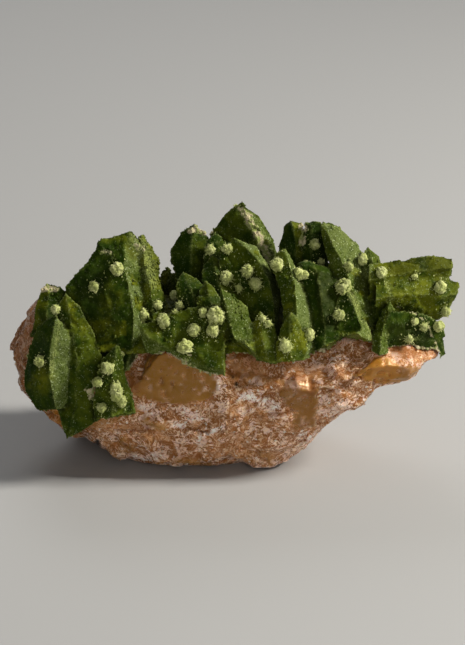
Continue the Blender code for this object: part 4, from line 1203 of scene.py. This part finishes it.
@dataclass(frozen=True)
class BallFinish:
    """The pale yellow-green of the duftite balls, brightest on their spikes. Their pit layer dims them:
    partly the dullness of some whole balls, partly painted shade in the pits between their lumps.
    """

    pale: tuple = (0.640, 0.660, 0.310)
    middle: tuple = (0.400, 0.440, 0.140)
    pit: tuple = (0.110, 0.140, 0.022)

    def material(self) -> bpy.types.Material:
        """Writes the material."""
        nodes = Nodes("duftite_balls")
        pit = nodes.layer("pit")
        grain = nodes.noise(0.13, 2.0, 0.65)
        cloud = nodes.noise(0.9, 3.0)
        colour = nodes.mix(nodes.step(cloud, 0.38, 0.66), self.middle, self.pale)
        # Painted shade in part: the pit layer dims the colour in the pits.
        colour = nodes.mix(nodes.math("MULTIPLY", pit, 0.75), colour, self.pit)
        colour = nodes.mix(nodes.step(grain, 0.52, 0.40, 0.0, 0.5), colour, self.middle)
        normal = nodes.bump(grain, 0.10, 0.8)
        return nodes.done(colour, 0.75, normal, Specular_IOR_Level=0.25)


@dataclass(frozen=True)
class CalciteFinish:
    """Honey calcite: clear and smooth in its windows, frosted, flaky and glinting where it is broken. Some of
    its glints are painted as white flakes, and places in shadow are deepened to brown as painted shade.
    """

    honey: tuple = (0.720, 0.325, 0.120)
    brown: tuple = (0.330, 0.116, 0.028)
    clear_honey: tuple = (0.480, 0.215, 0.012)
    amber: tuple = (0.700, 0.290, 0.026)
    thread: tuple = (0.960, 0.680, 0.460)
    mauve: tuple = (0.860, 0.660, 0.600)
    frost: tuple = (0.960, 0.890, 0.800)
    soot: tuple = (0.008, 0.007, 0.008)

    def material(self) -> bpy.types.Material:
        """Writes the material."""
        nodes = Nodes("honey_calcite")
        window, dark_and_shade, frost = nodes.layer("window"), nodes.layer("dark_and_shade"), nodes.layer("frost")
        amber, soot = nodes.layer("amber"), nodes.layer("soot")
        broken = nodes.math("SUBTRACT", 1.0, window)
        cloud = nodes.noise(3.4, 3.0, 0.55, 0.5)
        patch = nodes.noise(1.8, 3.0, 0.55, 1.6)
        streak = nodes.streaks(1.5, 0.13, 0.70)
        grit = nodes.noise(0.28, 3.0, 0.75)
        tilt, tint = nodes.facets(1.5)
        small_tilt, _ = nodes.facets(0.55)
        glint, spark = nodes.facets(0.27)
        net = nodes.crackle(1.05, 2.6)
        colour = nodes.mix(nodes.step(cloud, 0.38, 0.62), self.brown, self.honey)
        colour = nodes.mix(nodes.math("MULTIPLY", window, 0.85), colour, self.clear_honey)
        mist = nodes.math("MULTIPLY_ADD", frost, 0.42, nodes.math("MULTIPLY_ADD", tint, 0.16, patch))
        mist = nodes.math("MULTIPLY_ADD", streak, 0.35, mist)
        misty = nodes.math("MULTIPLY", nodes.step(mist, 0.92, 1.00, 0.0, 0.85), broken)
        colour = nodes.mix(misty, colour, self.mauve)
        threads = nodes.math("MAXIMUM", nodes.step(streak, 0.525, 0.585), nodes.step(net, 0.07, 0.02))
        threads = nodes.math("MULTIPLY", threads, nodes.step(patch, 0.34, 0.50, 0.40, 1.0))
        threads = nodes.math("MULTIPLY", threads, nodes.math("MULTIPLY_ADD", broken, 0.86, 0.06))
        gritty = nodes.step(grit, 0.38, 0.54, 0.35, 1.0)
        colour = nodes.mix(nodes.math("MULTIPLY", threads, gritty), colour, self.thread)
        shade = nodes.math("MULTIPLY", nodes.step(streak, 0.475, 0.40, 0.0, 0.9), broken)
        colour = nodes.mix(shade, colour, self.brown)
        white = nodes.math("MULTIPLY_ADD", grit, 0.9, nodes.math("MULTIPLY", frost, 0.48))
        white = nodes.step(nodes.math("MULTIPLY_ADD", streak, 0.5, white), 1.10, 1.20)
        # Some small facets turn frost-white: white flakes, partly painted glints.
        white = nodes.math("MAXIMUM", white, nodes.step(spark, 0.87, 0.90, 0.0, 0.85))
        colour = nodes.mix(nodes.math("MULTIPLY", white, broken), colour, self.frost)
        colour = nodes.mix(nodes.math("MULTIPLY", amber, 0.85), colour, self.amber)
        # Painted shade: the calcite is deepened to brown where shadow falls, in dips and by marks.
        colour = nodes.mix(nodes.math("MULTIPLY", dark_and_shade, 0.88), colour, self.brown)
        colour = nodes.mix(soot, colour, self.soot)
        flaky = nodes.bump(tilt, 0.60, 0.5)
        flaky = nodes.bump(small_tilt, 0.26, 0.55, flaky)
        flaky = nodes.bump(threads, 0.05, 0.6, flaky)
        flaky = nodes.bump(glint, 0.08, 0.45, flaky)
        calm = nodes.bump(cloud, 0.30, 0.35)
        normal = nodes.tree.nodes.new("ShaderNodeMix")
        normal.data_type = "VECTOR"
        nodes.link(window, normal.inputs["Factor"])
        nodes.link(flaky, normal.inputs[4])
        nodes.link(calm, normal.inputs[5])
        matt = nodes.math("MULTIPLY", misty, 0.25)
        roughness = nodes.math("ADD", nodes.step(window, 0.0, 1.0, 0.24, 0.28), matt)
        clear = nodes.math("MULTIPLY_ADD", window, 0.34, nodes.math("MULTIPLY_ADD", misty, -0.20, 0.24))
        nodes.link(clear, nodes.shader.inputs["Transmission Weight"])
        return nodes.done(colour, roughness, normal.outputs[1], IOR=1.56, Specular_IOR_Level=0.22,
                          Specular_Tint=(1.0, 0.80, 0.52, 1.0), Subsurface_Weight=0.25,
                          Subsurface_Scale=0.0022, Subsurface_Radius=(1.0, 0.50, 0.25))


@dataclass(frozen=True)
class FloorFinish:
    """The plain pale floor."""

    colour: tuple = (0.38, 0.38, 0.375)

    def material(self) -> bpy.types.Material:
        """Writes the material."""
        nodes = Nodes("pale_floor")
        return nodes.done((*self.colour, 1.0), 0.7, None)


@dataclass
class Guides:
    """The plain faces of all crystals, which tell where on them a point lies."""

    blades: tuple[Blade, ...]
    sides: tuple[Side, ...] = (Side.LEFT, Side.RIGHT, Side.KEEL, Side.KEEL, Side.KEEL)
    owners: list[tuple[int, Side]] = field(default_factory=list)
    tree: BVHTree | None = None

    def build(self) -> None:
        """Lays out the faces, and makes a search tree of them."""
        corners = len(self.sides)
        points: list[Vector] = []
        faces: list[tuple[int, ...]] = []
        for index, blade in enumerate(self.blades):
            start = len(points)
            points.append(blade.place(*blade.tip, blade.tip_depth))
            for row in range(len(blade.rows)):
                points.extend(blade.section(row))
            for corner, side in enumerate(self.sides):
                after = (corner + 1) % corners
                faces.append((start, start + 1 + corner, start + 1 + after))
                self.owners.append((index, side))
                for row in range(len(blade.rows) - 1):
                    upper = start + 1 + row * corners
                    lower = upper + corners
                    faces.append((upper + corner, lower + corner, lower + after))
                    faces.append((upper + corner, lower + after, upper + after))
                    self.owners.extend([(index, side)] * 2)
        self.tree = BVHTree.FromPolygons(points, faces)


@dataclass
class Surface:
    """The finished surface of the crystals, for what sits on it."""

    points: list[Vector]
    normals: list[Vector]
    layers: dict[str, np.ndarray]
    near_ball: np.ndarray
    between: np.ndarray
    tree: KDTree


@dataclass
class Leaves:
    """The leaf-shaped crystals with the crust between them."""

    guides: Guides
    calcite: BVHTree
    voxel: float = 0.2
    on_face: float = 0.16
    between_coat: tuple[float, float] = (0.15, 0.8)
    rim_width: float = 0.26
    rim_break: float = 1.1
    rim_strength: float = 0.8
    ridge_strength: float = 0.6
    fringe: float = 1.1
    fringe_top: float = 17.0
    fringe_strength: float = 0.95
    ball_reach: float = 1.12
    ball_sink: float = 0.2
    lump_size: float = 2.2
    lump_height: float = 0.16
    growth: tuple[tuple[float, float, float], ...] = ((2.4, 0.16, 0.06), (0.8, 0.16, 0.06))
    grain_size: float = 0.40
    grain_height: float = 0.06
    grain_shift: tuple[float, float, float] = (7.0, 3.0, 1.0)
    settle: float = 0.02
    smoothings: int = 6
    # The dip depth and the crevice rays set the painted shade; the ridge start and height set the painted
    # highlight on raised places.
    hollow_depth: float = 0.10
    ridge_start: float = 0.03
    ridge_height: float = 0.09
    crevice_reach: float = 3.5
    crevice_rays: int = 9
    crevice_seed: int = 3
    crevice_start: float = 0.35
    crevice_gain: float = 1.5
    between: np.ndarray | None = None

    def build(self, balls: list[tuple[Vector, Ball]]) -> tuple[bpy.types.Object, Surface]:
        """Meshes and coats the crystals.

        Args:
            balls: The balls' centres.

        Returns:
            The piece, and its surface for the grains.
        """
        copy = SolidCopy(CRYSTALS, self.voxel)
        copy.layers = self.coats(copy)
        copy.mark(CRYSTAL_MARKS)
        near_ball = self.sink_balls(copy, balls)
        self.relief(copy, near_ball)
        copy.layers["crust"] *= 1.0 - near_ball
        surface = self.finished(copy, near_ball)
        piece = copy.piece("crystal_leaves")
        piece.data.materials.append(DuftiteFinish().material())
        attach(piece, BODY)
        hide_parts("duftite_crystals")
        return piece, surface

    def finished(self, copy: SolidCopy, near_ball: np.ndarray) -> Surface:
        """Keeps the finished surface for what sits on it.

        Args:
            copy: The crystals' mesh.
            near_ball: 1 on a ball.

        Returns:
            The surface.
        """
        points = [vertex.co.copy() for vertex in copy.bm.verts]
        normals = [vertex.normal.copy() for vertex in copy.bm.verts]
        tree = KDTree(len(points))
        for index, point in enumerate(points):
            tree.insert(point, index)
        tree.balance()
        layers = {name: np.clip(values, 0.0, 1.0) for name, values in copy.layers.items()}
        return Surface(points, normals, layers, near_ball, self.between, tree)

    def coats(self, copy: SolidCopy) -> dict[str, np.ndarray]:
        """Reads each vertex's coat from the crystal that it lies on.

        Args:
            copy: The crystals' mesh.

        Returns:
            The layers, by name.
        """
        points = copy.points
        count = len(points)
        velvet_and_sheen, olive = (np.full(count, share) for share in self.between_coat)
        rim_and_highlight = np.zeros(count)
        owner = np.full(count, -1)
        # Each face's coat is partly painted light: faces turned to the light are paler, as painted sheen, and
        # faces turned from it stay deep green, as painted shade.
        for row, vertex in enumerate(copy.bm.verts):
            _, _, face, distance = self.guides.tree.find_nearest(vertex.co)
            if distance < self.on_face:
                index, side = self.guides.owners[face]
                blade = self.guides.blades[index]
                coat = {Side.LEFT: blade.left, Side.RIGHT: blade.right, Side.KEEL: Coat.DEEP}[side]
                velvet_and_sheen[row], olive[row] = coat.value
                owner[row] = index
        for index, blade in enumerate(self.guides.blades):
            mine = np.nonzero(owner == index)[0]
            if not len(mine):
                continue
            # Edges and ridges of each crystal are lightened, partly as a painted highlight.
            left, ridge, right = (distance_to_line(points[mine], line) for line in blade.edges())
            outer = fade(np.minimum(left, right), self.rim_width)
            edge = np.maximum(outer, self.ridge_strength * fade(ridge, self.rim_width))
            rim_and_highlight[mine] = np.maximum(rim_and_highlight[mine], edge)
        broken = np.array([noise.noise(vertex.co / self.rim_break) for vertex in copy.bm.verts])
        rim_and_highlight *= np.clip(0.55 + 1.8 * broken, 0.05, 1.0)
        self.between = (owner < 0).astype(float)
        stands = copy.bend(self.smoothings)
        # Painted shade: dips, and places whose outward rays are blocked by nearby crystals, are given a share
        # of near-black, which also dims their pale edges.
        painted_shade = np.clip(-stands / self.hollow_depth, 0.0, 1.0)
        deep = crevices(copy, self.crevice_reach, self.crevice_rays, self.crevice_seed)
        painted_shade = np.maximum(painted_shade, np.clip((deep - self.crevice_start) * self.crevice_gain, 0.0, 1.0))
        # Raised places are lightened too, as a painted highlight on convex ridges.
        raised = np.clip((stands - self.ridge_start) / self.ridge_height, 0.0, 0.7)
        rim_and_highlight = np.maximum(rim_and_highlight, raised) * (1.0 - painted_shade) * self.rim_strength
        crust = self.fringe_crust(copy)
        return {"velvet_and_sheen": velvet_and_sheen, "olive": olive, "rim_and_highlight": rim_and_highlight, "crust": crust, "painted_shade": painted_shade}

    def fringe_crust(self, copy: SolidCopy) -> np.ndarray:
        """Lays the beige crust along the lower edge, where the crystals come near the calcite.

        Args:
            copy: The crystals' mesh.

        Returns:
            The crust's share for each vertex.
        """
        crust = np.zeros(len(copy.points))
        for row, vertex in enumerate(copy.bm.verts):
            if vertex.co.z > self.fringe_top:
                continue
            nearest, _, _, distance = self.calcite.find_nearest(vertex.co, self.fringe)
            if nearest is not None:
                crust[row] = self.fringe_strength * (1.0 - distance / self.fringe)
        return crust

    def sink_balls(self, copy: SolidCopy, balls: list[tuple[Vector, Ball]]) -> np.ndarray:
        """Draws the solid's plain balls in, under the finer ones.

        Args:
            copy: The crystals' mesh, which is changed.
            balls: The balls' centres.

        Returns:
            For each vertex, 1 on a ball and 0 elsewhere.
        """
        on_ball = np.zeros(len(copy.points))
        for centre, ball in balls:
            scale = np.array((1.0, 1.0, ball.stretch)) * ball.radius
            reach = np.linalg.norm((copy.points - np.array(centre)) / scale, axis=1)
            for row in np.nonzero(reach < self.ball_reach)[0]:
                vertex = copy.bm.verts[row]
                vertex.co = vertex.co.lerp(centre, self.ball_sink)
                on_ball[row] = 1.0
        copy.bm.normal_update()
        return on_ball

    def relief(self, copy: SolidCopy, near_ball: np.ndarray) -> None:
        """Raises lumps, growth facets and grains.

        Args:
            copy: The crystals' mesh, which is changed.
            near_ball: 1 on a ball.
        """
        layers = copy.layers
        shift = Vector(self.grain_shift)
        moves = []
        for row, vertex in enumerate(copy.bm.verts):
            point = vertex.co
            velvet_and_sheen, rim_and_highlight, crust = layers["velvet_and_sheen"][row], layers["rim_and_highlight"][row], layers["crust"][row]
            lump = noise.noise(point / self.lump_size) * self.lump_height
            growth = sum(facet(point, *shape)[0] for shape in self.growth)
            grain = noise.noise(point / self.grain_size + shift)
            rough = self.grain_height * (0.30 + 0.4 * velvet_and_sheen + 1.0 * rim_and_highlight + 2.0 * crust)
            height = lump + growth + grain * rough - self.settle
            moves.append(vertex.normal * height * (1.0 - near_ball[row]))
        for vertex, move in zip(copy.bm.verts, moves):
            vertex.co += move
        copy.bm.normal_update()


@dataclass
class Balls:
    """The duftite balls, each a cluster of rough lobes. The dull ones are given by their places in BALLS."""

    tree: BVHTree
    seed: int = 11
    sink: float = 0.3
    dull: tuple[int, ...] = (1, 3, 4, 5, 6, 7, 8, 11, 13, 15, 17, 27, 34, 36, 37, 41, 43, 44, 45)
    dullness: float = 0.5
    main_share: float = 0.95
    large: float = 0.9
    pit_size: float = 0.24
    pit_depth: float = 0.22
    lump_size: float = 0.55
    lump_height: float = 0.32

    def centres(self) -> list[tuple[Vector, Ball]]:
        """Finds each ball's centre on the crystals, in the solid's way."""
        found = []
        for ball in BALLS:
            point, normal = EYE.strike(self.tree, ball.across, ball.rise)
            found.append((point + normal * ball.radius * self.sink, ball))
        return found

    def build(self, centres: list[tuple[Vector, Ball]]) -> bpy.types.Object:
        """Models the balls.

        Args:
            centres: The balls' centres.

        Returns:
            The piece.
        """
        draw = random.Random(self.seed)
        whole = bmesh.new()
        layer = whole.verts.layers.float.new("pit")
        for number, (centre, ball) in enumerate(centres):
            shade = self.dullness * draw.uniform(0.6, 1.2) if number in self.dull else draw.uniform(0.0, 0.12)
            main = ball.radius * self.main_share
            self.lobe(whole, layer, shade, centre, main, ball.stretch, 5 if main > self.large else 4)
            for _ in range(draw.randint(3, 7)):
                way = any_way(draw, 0.4).normalized()
                away = ball.radius * draw.uniform(0.40, 0.80)
                radius = ball.radius * draw.uniform(0.28, 0.50)
                self.lobe(whole, layer, shade, centre + way * away, radius, 1.0, 3)
        piece = shown("duftite_balls", smooth_mesh("duftite_balls", whole))
        piece.data.materials.append(BallFinish().material())
        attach(piece, BODY)
        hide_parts("duftite_crystals")
        return piece

    def lobe(self, whole: bmesh.types.BMesh, layer: object, shade: float, middle: Vector, radius: float,
             stretch: float, fine: int) -> None:
        """Adds one rough lobe to the balls' mesh.

        Args:
            whole: The mesh, which is changed.
            layer: Its pit layer.
            shade: How dull the ball is all over.
            middle: The lobe's centre.
            radius: Its radius.
            stretch: Its height over its width.
            fine: How often its faces are divided.
        """
        made = bmesh.ops.create_icosphere(whole, subdivisions=fine, radius=1.0)
        for vertex in made["verts"]:
            way = vertex.co.normalized()
            place = middle + way * radius
            near = noise.voronoi(place / self.pit_size)[0][0]
            lump = noise.noise(place / self.lump_size)
            out = 1.0 + self.lump_height * lump + self.pit_depth * (0.5 - near)
            # The pit layer: the ball's own dullness, plus painted shade where the surface dips between its
            # lumps.
            vertex[layer] = max(0.0, min(1.0, shade + (near - 0.42) * 2.4 * (1.0 - 0.5 * shade)))
            vertex.co = middle + Vector((way.x, way.y, way.z * stretch)) * radius * out


def crevices(copy: SolidCopy, reach: float, rays: int, seed: int, lift: float = 0.12) -> np.ndarray:
    """Measures how deep in a crevice each vertex of a mesh lies.

    Args:
        copy: The mesh.
        reach: How far a neighbour counts, in millimetres.
        rays: How many ways are tried for each vertex.
        seed: The seed of the ways.
        lift: How far over the surface they start, in millimetres.

    Returns:
        The share of ways that are blocked, from 0 to 1.
    """
    way_count, row_stride, turn_stride, outward = 64, 7, 13, 1.15
    draw = random.Random(seed)
    ways = [any_way(draw).normalized() for _ in range(way_count)]
    out = np.zeros(len(copy.bm.verts))
    for row, vertex in enumerate(copy.bm.verts):
        start = vertex.co + vertex.normal * lift
        blocked = 0
        for turn in range(rays):
            chosen = ways[(row * row_stride + turn * turn_stride) % way_count]
            way = (vertex.normal * outward + chosen).normalized()
            blocked += copy.tree.ray_cast(start, way, reach)[0] is not None
        out[row] = blocked / rays
    return out


def coated(name: str, shape: bmesh.types.BMesh, places: list[Matrix], layers: dict[str, np.ndarray],
           finish: str) -> bpy.types.Object:
    """Joins many small crystals in one piece, each with its own coat.

    Args:
        name: The piece's name.
        shape: One crystal.
        places: A transform for each crystal.
        layers: The coat's layers, with a value for each crystal.
        finish: The material's name.

    Returns:
        The piece.
    """
    shape.verts.index_update()
    piece = joined(name, shape, places)
    corners = len(shape.verts)
    shape.free()
    for layer, values in layers.items():
        add_layer(piece.data, layer, np.repeat(values, corners))
    piece.data.materials.append(bpy.data.materials[finish])
    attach(piece, BODY)
    return piece


@dataclass
class Spikes:
    """The needles that make the balls bristle, the pale specks around them, and tufts on the backs.

    The balls with long needles are given by their places in BALLS.
    """

    centres: list[tuple[Vector, Ball]]
    surface: Surface
    seed: int = 23
    density: float = 110.0
    bristling: tuple[int, ...] = (19, 21, 22, 23, 24, 25, 26, 30, 37, 41, 44, 45)
    bristle: float = 1.9
    reach: float = 2.3
    speck_density: float = 26.0
    tuft_count: int = 46
    tuft_density: float = 150.0
    back_facing: float = 0.5
    most_hollow: float = 0.3

    def build(self) -> bpy.types.Object:
        """Sets the needles, the specks and the tufts.

        Returns:
            The piece.
        """
        draw = random.Random(self.seed)
        shape = bmesh.new()
        bmesh.ops.create_cone(shape, cap_ends=True, segments=4, radius1=1.0, radius2=0.25, depth=2.0)
        bmesh.ops.triangulate(shape, faces=shape.faces)
        places, pits = [], []
        for index, (centre, ball) in enumerate(self.centres):
            bristle = self.bristle if index in self.bristling else 1.0
            for _ in range(int(self.density * ball.radius ** 1.6)):
                way = any_way(draw, 0.5).normalized()
                out = ball.radius * draw.uniform(0.86, 1.06)
                point = centre + Vector((way.x, way.y, way.z * ball.stretch)) * out
                lean = (way + any_way(draw, spread=0.35)).normalized()
                wide, long = draw.uniform(0.04, 0.09), draw.uniform(0.08, 0.19) * bristle
                places.append(placed(point, upright(lean), (wide, wide, long)))
                pits.append(draw.uniform(0.0, 0.35))
            self.specks(draw, centre, ball, places, pits)
        self.tufts(draw, places, pits)
        return coated("duftite_spikes", shape, places, {"pit": np.array(pits)}, "duftite_balls")

    def tufts(self, draw: random.Random, places: list[Matrix], pits: list[float]) -> None:
        """Sets small tufts of needles on the backs of the crystals.

        Args:
            draw: The source of random numbers.
            places: The transforms so far, which are added to.
            pits: The shades so far, which are added to.
        """
        surface = self.surface
        # Tufts go only where little painted shade lies.
        painted_shade = surface.layers["painted_shade"]
        backs = [row for row, normal in enumerate(surface.normals) if normal.y > self.back_facing
                 and not surface.near_ball[row] and painted_shade[row] < self.most_hollow]
        for row in draw.sample(backs, self.tuft_count):
            radius = draw.uniform(0.16, 0.46)
            for _ in range(int(self.tuft_density * radius)):
                way = (any_way(draw) + surface.normals[row] * 0.9).normalized()
                point = surface.points[row] + way * radius * draw.uniform(0.35, 0.95)
                wide, long = draw.uniform(0.05, 0.10), draw.uniform(0.10, 0.22)
                places.append(placed(point, upright(way), (wide, wide, long)))
                pits.append(draw.uniform(0.0, 0.5))

    def specks(self, draw: random.Random, centre: Vector, ball: Ball, places: list[Matrix],
               pits: list[float]) -> None:
        """Strews specks on the crystals around a ball.

        Args:
            draw: The source of random numbers.
            centre: The ball's centre.
            ball: The ball.
            places: The transforms so far, which are added to.
            pits: The shades so far, which are added to.
        """
        near = [index for _, index, distance in self.surface.tree.find_range(centre, ball.radius * self.reach)
                if distance > ball.radius]
        for index in draw.sample(near, min(len(near), int(self.speck_density * ball.radius))):
            size = draw.uniform(0.05, 0.13) * draw.uniform(0.6, 1.0)
            point = self.surface.points[index] + self.surface.normals[index] * size * 0.2
            turn = Matrix.Rotation(draw.uniform(0, math.tau), 4, "X")
            turn @= Matrix.Rotation(draw.uniform(0, math.tau), 4, "Z")
            places.append(placed(point, turn, (size, size, size)))
            pits.append(draw.uniform(0.1, 0.7))


@dataclass
class Grains:
    """The fine crystals on rims, velvet faces and crusts, and the coarser rubble between the leaves."""

    surface: Surface
    seed: int = 5
    grain_count: int = 19000
    grain_sizes: tuple[float, float] = (0.035, 0.095)
    rubble_count: int = 5200
    rubble_sizes: tuple[float, float] = (0.09, 0.30)

    def build(self) -> list[bpy.types.Object]:
        """Scatters the grains and the rubble.

        Returns:
            The two pieces.
        """
        draw = random.Random(self.seed)
        layers = self.surface.layers
        free = 1.0 - self.surface.near_ball
        fine = 0.08 + 0.3 * layers["velvet_and_sheen"] + 0.9 * layers["rim_and_highlight"] ** 2
        fine = fine + 1.6 * layers["crust"] + 0.2 * layers["olive"]
        coarse = 0.30 * self.surface.between + 1.6 * layers["rubble"] + 0.4 * layers["crust"] + 0.012
        octahedron = bmesh.new()
        bmesh.ops.create_uvsphere(octahedron, u_segments=4, v_segments=2, radius=1.0)
        grains = self.scatter("duftite_grains", octahedron, draw, fine * free, self.grain_count,
                              self.grain_sizes, 0.2)
        lump = bmesh.new()
        bmesh.ops.create_icosphere(lump, subdivisions=1, radius=1.0)
        for vertex in lump.verts:
            vertex.co *= draw.uniform(0.8, 1.2)
        rubble = self.scatter("duftite_rubble", lump, draw, coarse * free, self.rubble_count,
                              self.rubble_sizes, 0.0)
        return [grains, rubble]

    def scatter(self, name: str, shape: bmesh.types.BMesh, draw: random.Random, weight: np.ndarray,
                count: int, sizes: tuple[float, float], lift: float) -> bpy.types.Object:
        """Scatters copies of a shape on the crystals.

        Args:
            name: The piece's name.
            shape: The shape.
            draw: The source of random numbers.
            weight: How much each vertex of the surface draws them.
            count: About how many there are.
            sizes: The smallest and the largest.
            lift: How far they stand out, as a share of their size.

        Returns:
            The piece.
        """
        layers = self.surface.layers
        total = float(weight.sum())
        chosen = [row for row, share in enumerate(weight) if draw.random() < share / total * count]
        places = []
        for row in chosen:
            size = sizes[0] + (sizes[1] - sizes[0]) * draw.random() ** 2
            size *= 0.85 + 0.3 * layers["crust"][row]
            turn = Matrix.Rotation(draw.uniform(0, math.tau), 4, "Z")
            turn @= Matrix.Rotation(draw.uniform(0, math.pi), 4, "X")
            shares = tuple(size * draw.uniform(0.7, 1.2) for _ in range(3))
            point = self.surface.points[row] + self.surface.normals[row] * size * lift
            places.append(placed(point, turn, shares))
        kept = {layer: values[chosen] for layer, values in layers.items()}
        vary = np.array([draw.uniform(-0.2, 0.35) for _ in chosen])
        kept["rim_and_highlight"] = np.clip(kept["rim_and_highlight"] + vary, 0.0, 1.0)
        return coated(name, shape, places, kept, "duftite_coat")


@dataclass
class Calcite:
    """The broken honey calcite under the crystals."""

    voxel: float = 0.24
    facets: tuple[tuple[float, float, float], ...] = ((4.4, 0.24, 0.07), (1.7, 0.18, 0.08))
    layer_names: tuple[str, ...] = ("window", "dark_and_shade", "frost", "amber", "soot")
    squeeze: tuple[float, float] = (0.75, 1.15)
    apart: float = 11.0
    foot_height: float = 1.0
    reach: float = 2.0
    draw_up: float = 0.34
    smoothings: int = 4

    def build(self, crystals: BVHTree) -> bpy.types.Object:
        """Meshes, breaks and finishes the calcite.

        Args:
            crystals: The crystals' solid.

        Returns:
            The piece.
        """
        copy = SolidCopy(CALCITE, self.voxel)
        copy.layers = {name: np.zeros(len(copy.points)) for name in self.layer_names}
        copy.mark(CALCITE_MARKS)
        flakes = self.fracture(copy, crystals)
        stands = copy.bend(self.smoothings)
        # Painted shade: dips in the calcite outside the windows are deepened to brown.
        painted_shade = np.clip((-stands - 0.04) / 0.14, 0.0, 0.7) * (1.0 - copy.layers["window"])
        copy.layers["dark_and_shade"] = np.maximum(copy.layers["dark_and_shade"], painted_shade)
        copy.layers["frost"] = copy.layers["frost"] * 0.9 + 0.5 * flakes + np.clip(stands / 0.3, -0.3, 0.3)
        piece = copy.piece("calcite_body")
        piece.data.materials.append(CalciteFinish().material())
        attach(piece, BODY)
        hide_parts("calcite_matrix")
        return piece

    def fracture(self, copy: SolidCopy, crystals: BVHTree) -> np.ndarray:
        """Breaks the surface into leaning facets, less in the windows, near the crystals and at the foot.

        Where it comes near the crystals it is drawn up to them, so that no gap shows.

        Args:
            copy: The calcite's mesh, which is changed.
            crystals: The crystals' solid.

        Returns:
            For each vertex, how flaky its facet is.
        """
        window = copy.layers["window"]
        flakes = np.zeros(len(copy.points))
        wide, tall = self.squeeze
        moves = []
        for row, vertex in enumerate(copy.bm.verts):
            point, normal = vertex.co, vertex.normal
            free = (1.0 - 0.92 * window[row]) * min(1.0, point.z / self.foot_height)
            nearest, _, _, distance = crystals.find_nearest(point, self.reach)
            near = 1.0 - distance / self.reach if nearest is not None else 0.0
            height = 0.0
            for octave, shape in enumerate(self.facets):
                stretched = Vector((point.x * wide, point.y, point.z * tall))
                stretched += Vector((octave * self.apart, 0.0, 0.0))
                rise, draw = facet(stretched, *shape)
                height += rise
            flakes[row] = draw.z
            move = normal * (height * free * (1.0 - near))
            if nearest is not None and distance > TINY:
                closing = min(self.draw_up, distance) * max(0.0, near * 1.6 - 0.6)
                move += (nearest - point).normalized() * closing
            moves.append(move)
        for vertex, move in zip(copy.bm.verts, moves):
            vertex.co += move
            vertex.co.z = max(vertex.co.z, 0.0)
        copy.bm.normal_update()
        return flakes


@dataclass
class Studio:
    """The pale floor, the soft lights and the camera."""

    picture_height: float = 80.625
    sensor: float = 24.0
    near_clip: float = 0.01
    far_clip: float = 20.0
    floor_size: float = 4.0
    floor_drop: float = 0.00005
    aim: tuple[float, float, float] = (0.0, 0.0, 0.018)
    surroundings: tuple[float, float, float, float] = (0.84, 0.84, 0.84, 1.0)
    surroundings_strength: float = 0.16

    def build(self) -> None:
        """Sets up the studio."""
        self.floor()
        self.camera()
        self.light("key", (0.37, -0.03, 0.29), 0.09, 3.6, (1.0, 0.96, 0.89))
        self.light("fill", (0.06, -0.42, 0.12), 0.30, 0.50, (1.0, 0.97, 0.94))
        self.light("back", (-0.10, 0.40, 0.35), 0.25, 0.6, (1.0, 1.0, 1.0))
        world = bpy.data.worlds.new("studio")
        bpy.context.scene.world = world
        world.use_nodes = True
        background = world.node_tree.nodes["Background"]
        background.inputs["Color"].default_value = self.surroundings
        background.inputs["Strength"].default_value = self.surroundings_strength
        bpy.context.scene.view_settings.view_transform = "Standard"

    def floor(self) -> None:
        """Lays the floor."""
        bm = bmesh.new()
        bmesh.ops.create_grid(bm, x_segments=4, y_segments=4, size=self.floor_size)
        bmesh.ops.translate(bm, vec=(0.0, 0.0, -self.floor_drop), verts=bm.verts)
        mesh = bpy.data.meshes.new("floor")
        bm.to_mesh(mesh)
        bm.free()
        floor = shown("floor", mesh)
        mesh.materials.append(FloorFinish().material())

    def camera(self) -> None:
        """Puts the camera in the eye's place."""
        data = bpy.data.cameras.new("camera")
        data.sensor_fit = "VERTICAL"
        data.sensor_height = self.sensor
        data.lens = self.sensor * EYE.distance / self.picture_height
        data.clip_start = self.near_clip
        data.clip_end = self.far_clip
        camera = bpy.data.objects.new("camera", data)
        camera.location = EYE.place * MM
        camera.rotation_euler = (math.pi / 2 - EYE.elevation, 0.0, 0.0)
        bpy.context.scene.collection.objects.link(camera)
        bpy.context.scene.camera = camera

    def light(self, name: str, place: tuple[float, float, float], size: float, power: float,
              colour: tuple) -> None:
        """Adds a soft square lamp that faces the specimen.

        Args:
            name: The lamp's name.
            place: Where it is, in metres.
            size: Its width, in metres.
            power: Its power, in watts.
            colour: Its colour.
        """
        data = bpy.data.lights.new(name, "AREA")
        data.size = size
        data.energy = power
        data.color = colour
        lamp = bpy.data.objects.new(name, data)
        lamp.location = place
        lamp.rotation_euler = (Vector(self.aim) - Vector(place)).to_track_quat("-Z", "Y").to_euler()
        bpy.context.scene.collection.objects.link(lamp)


def write_size() -> None:
    """Brings the scene's evaluated state up to date."""
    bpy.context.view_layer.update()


def main() -> None:
    """Builds every piece in order."""
    logging.basicConfig(level=logging.INFO, format="%(message)s")
    guides = Guides(LEFT_BLADES + CENTRE_BLADES + RIGHT_BLADES + BACK_BLADES)
    guides.build()
    balls = Balls(guides.tree)
    centres = balls.centres()
    leaves, surface = Leaves(guides, packed_tree(CALCITE)).build(centres)
    pieces = [leaves, balls.build(centres), Spikes(centres, surface).build(), *Grains(surface).build()]
    pieces.append(Calcite().build(packed_tree(CRYSTALS)))
    for piece in pieces:
        LOG.info("%s: %d faces", piece.name, len(piece.data.polygons))
    Studio().build()
    write_size()


if __name__ == "__main__":
    main()
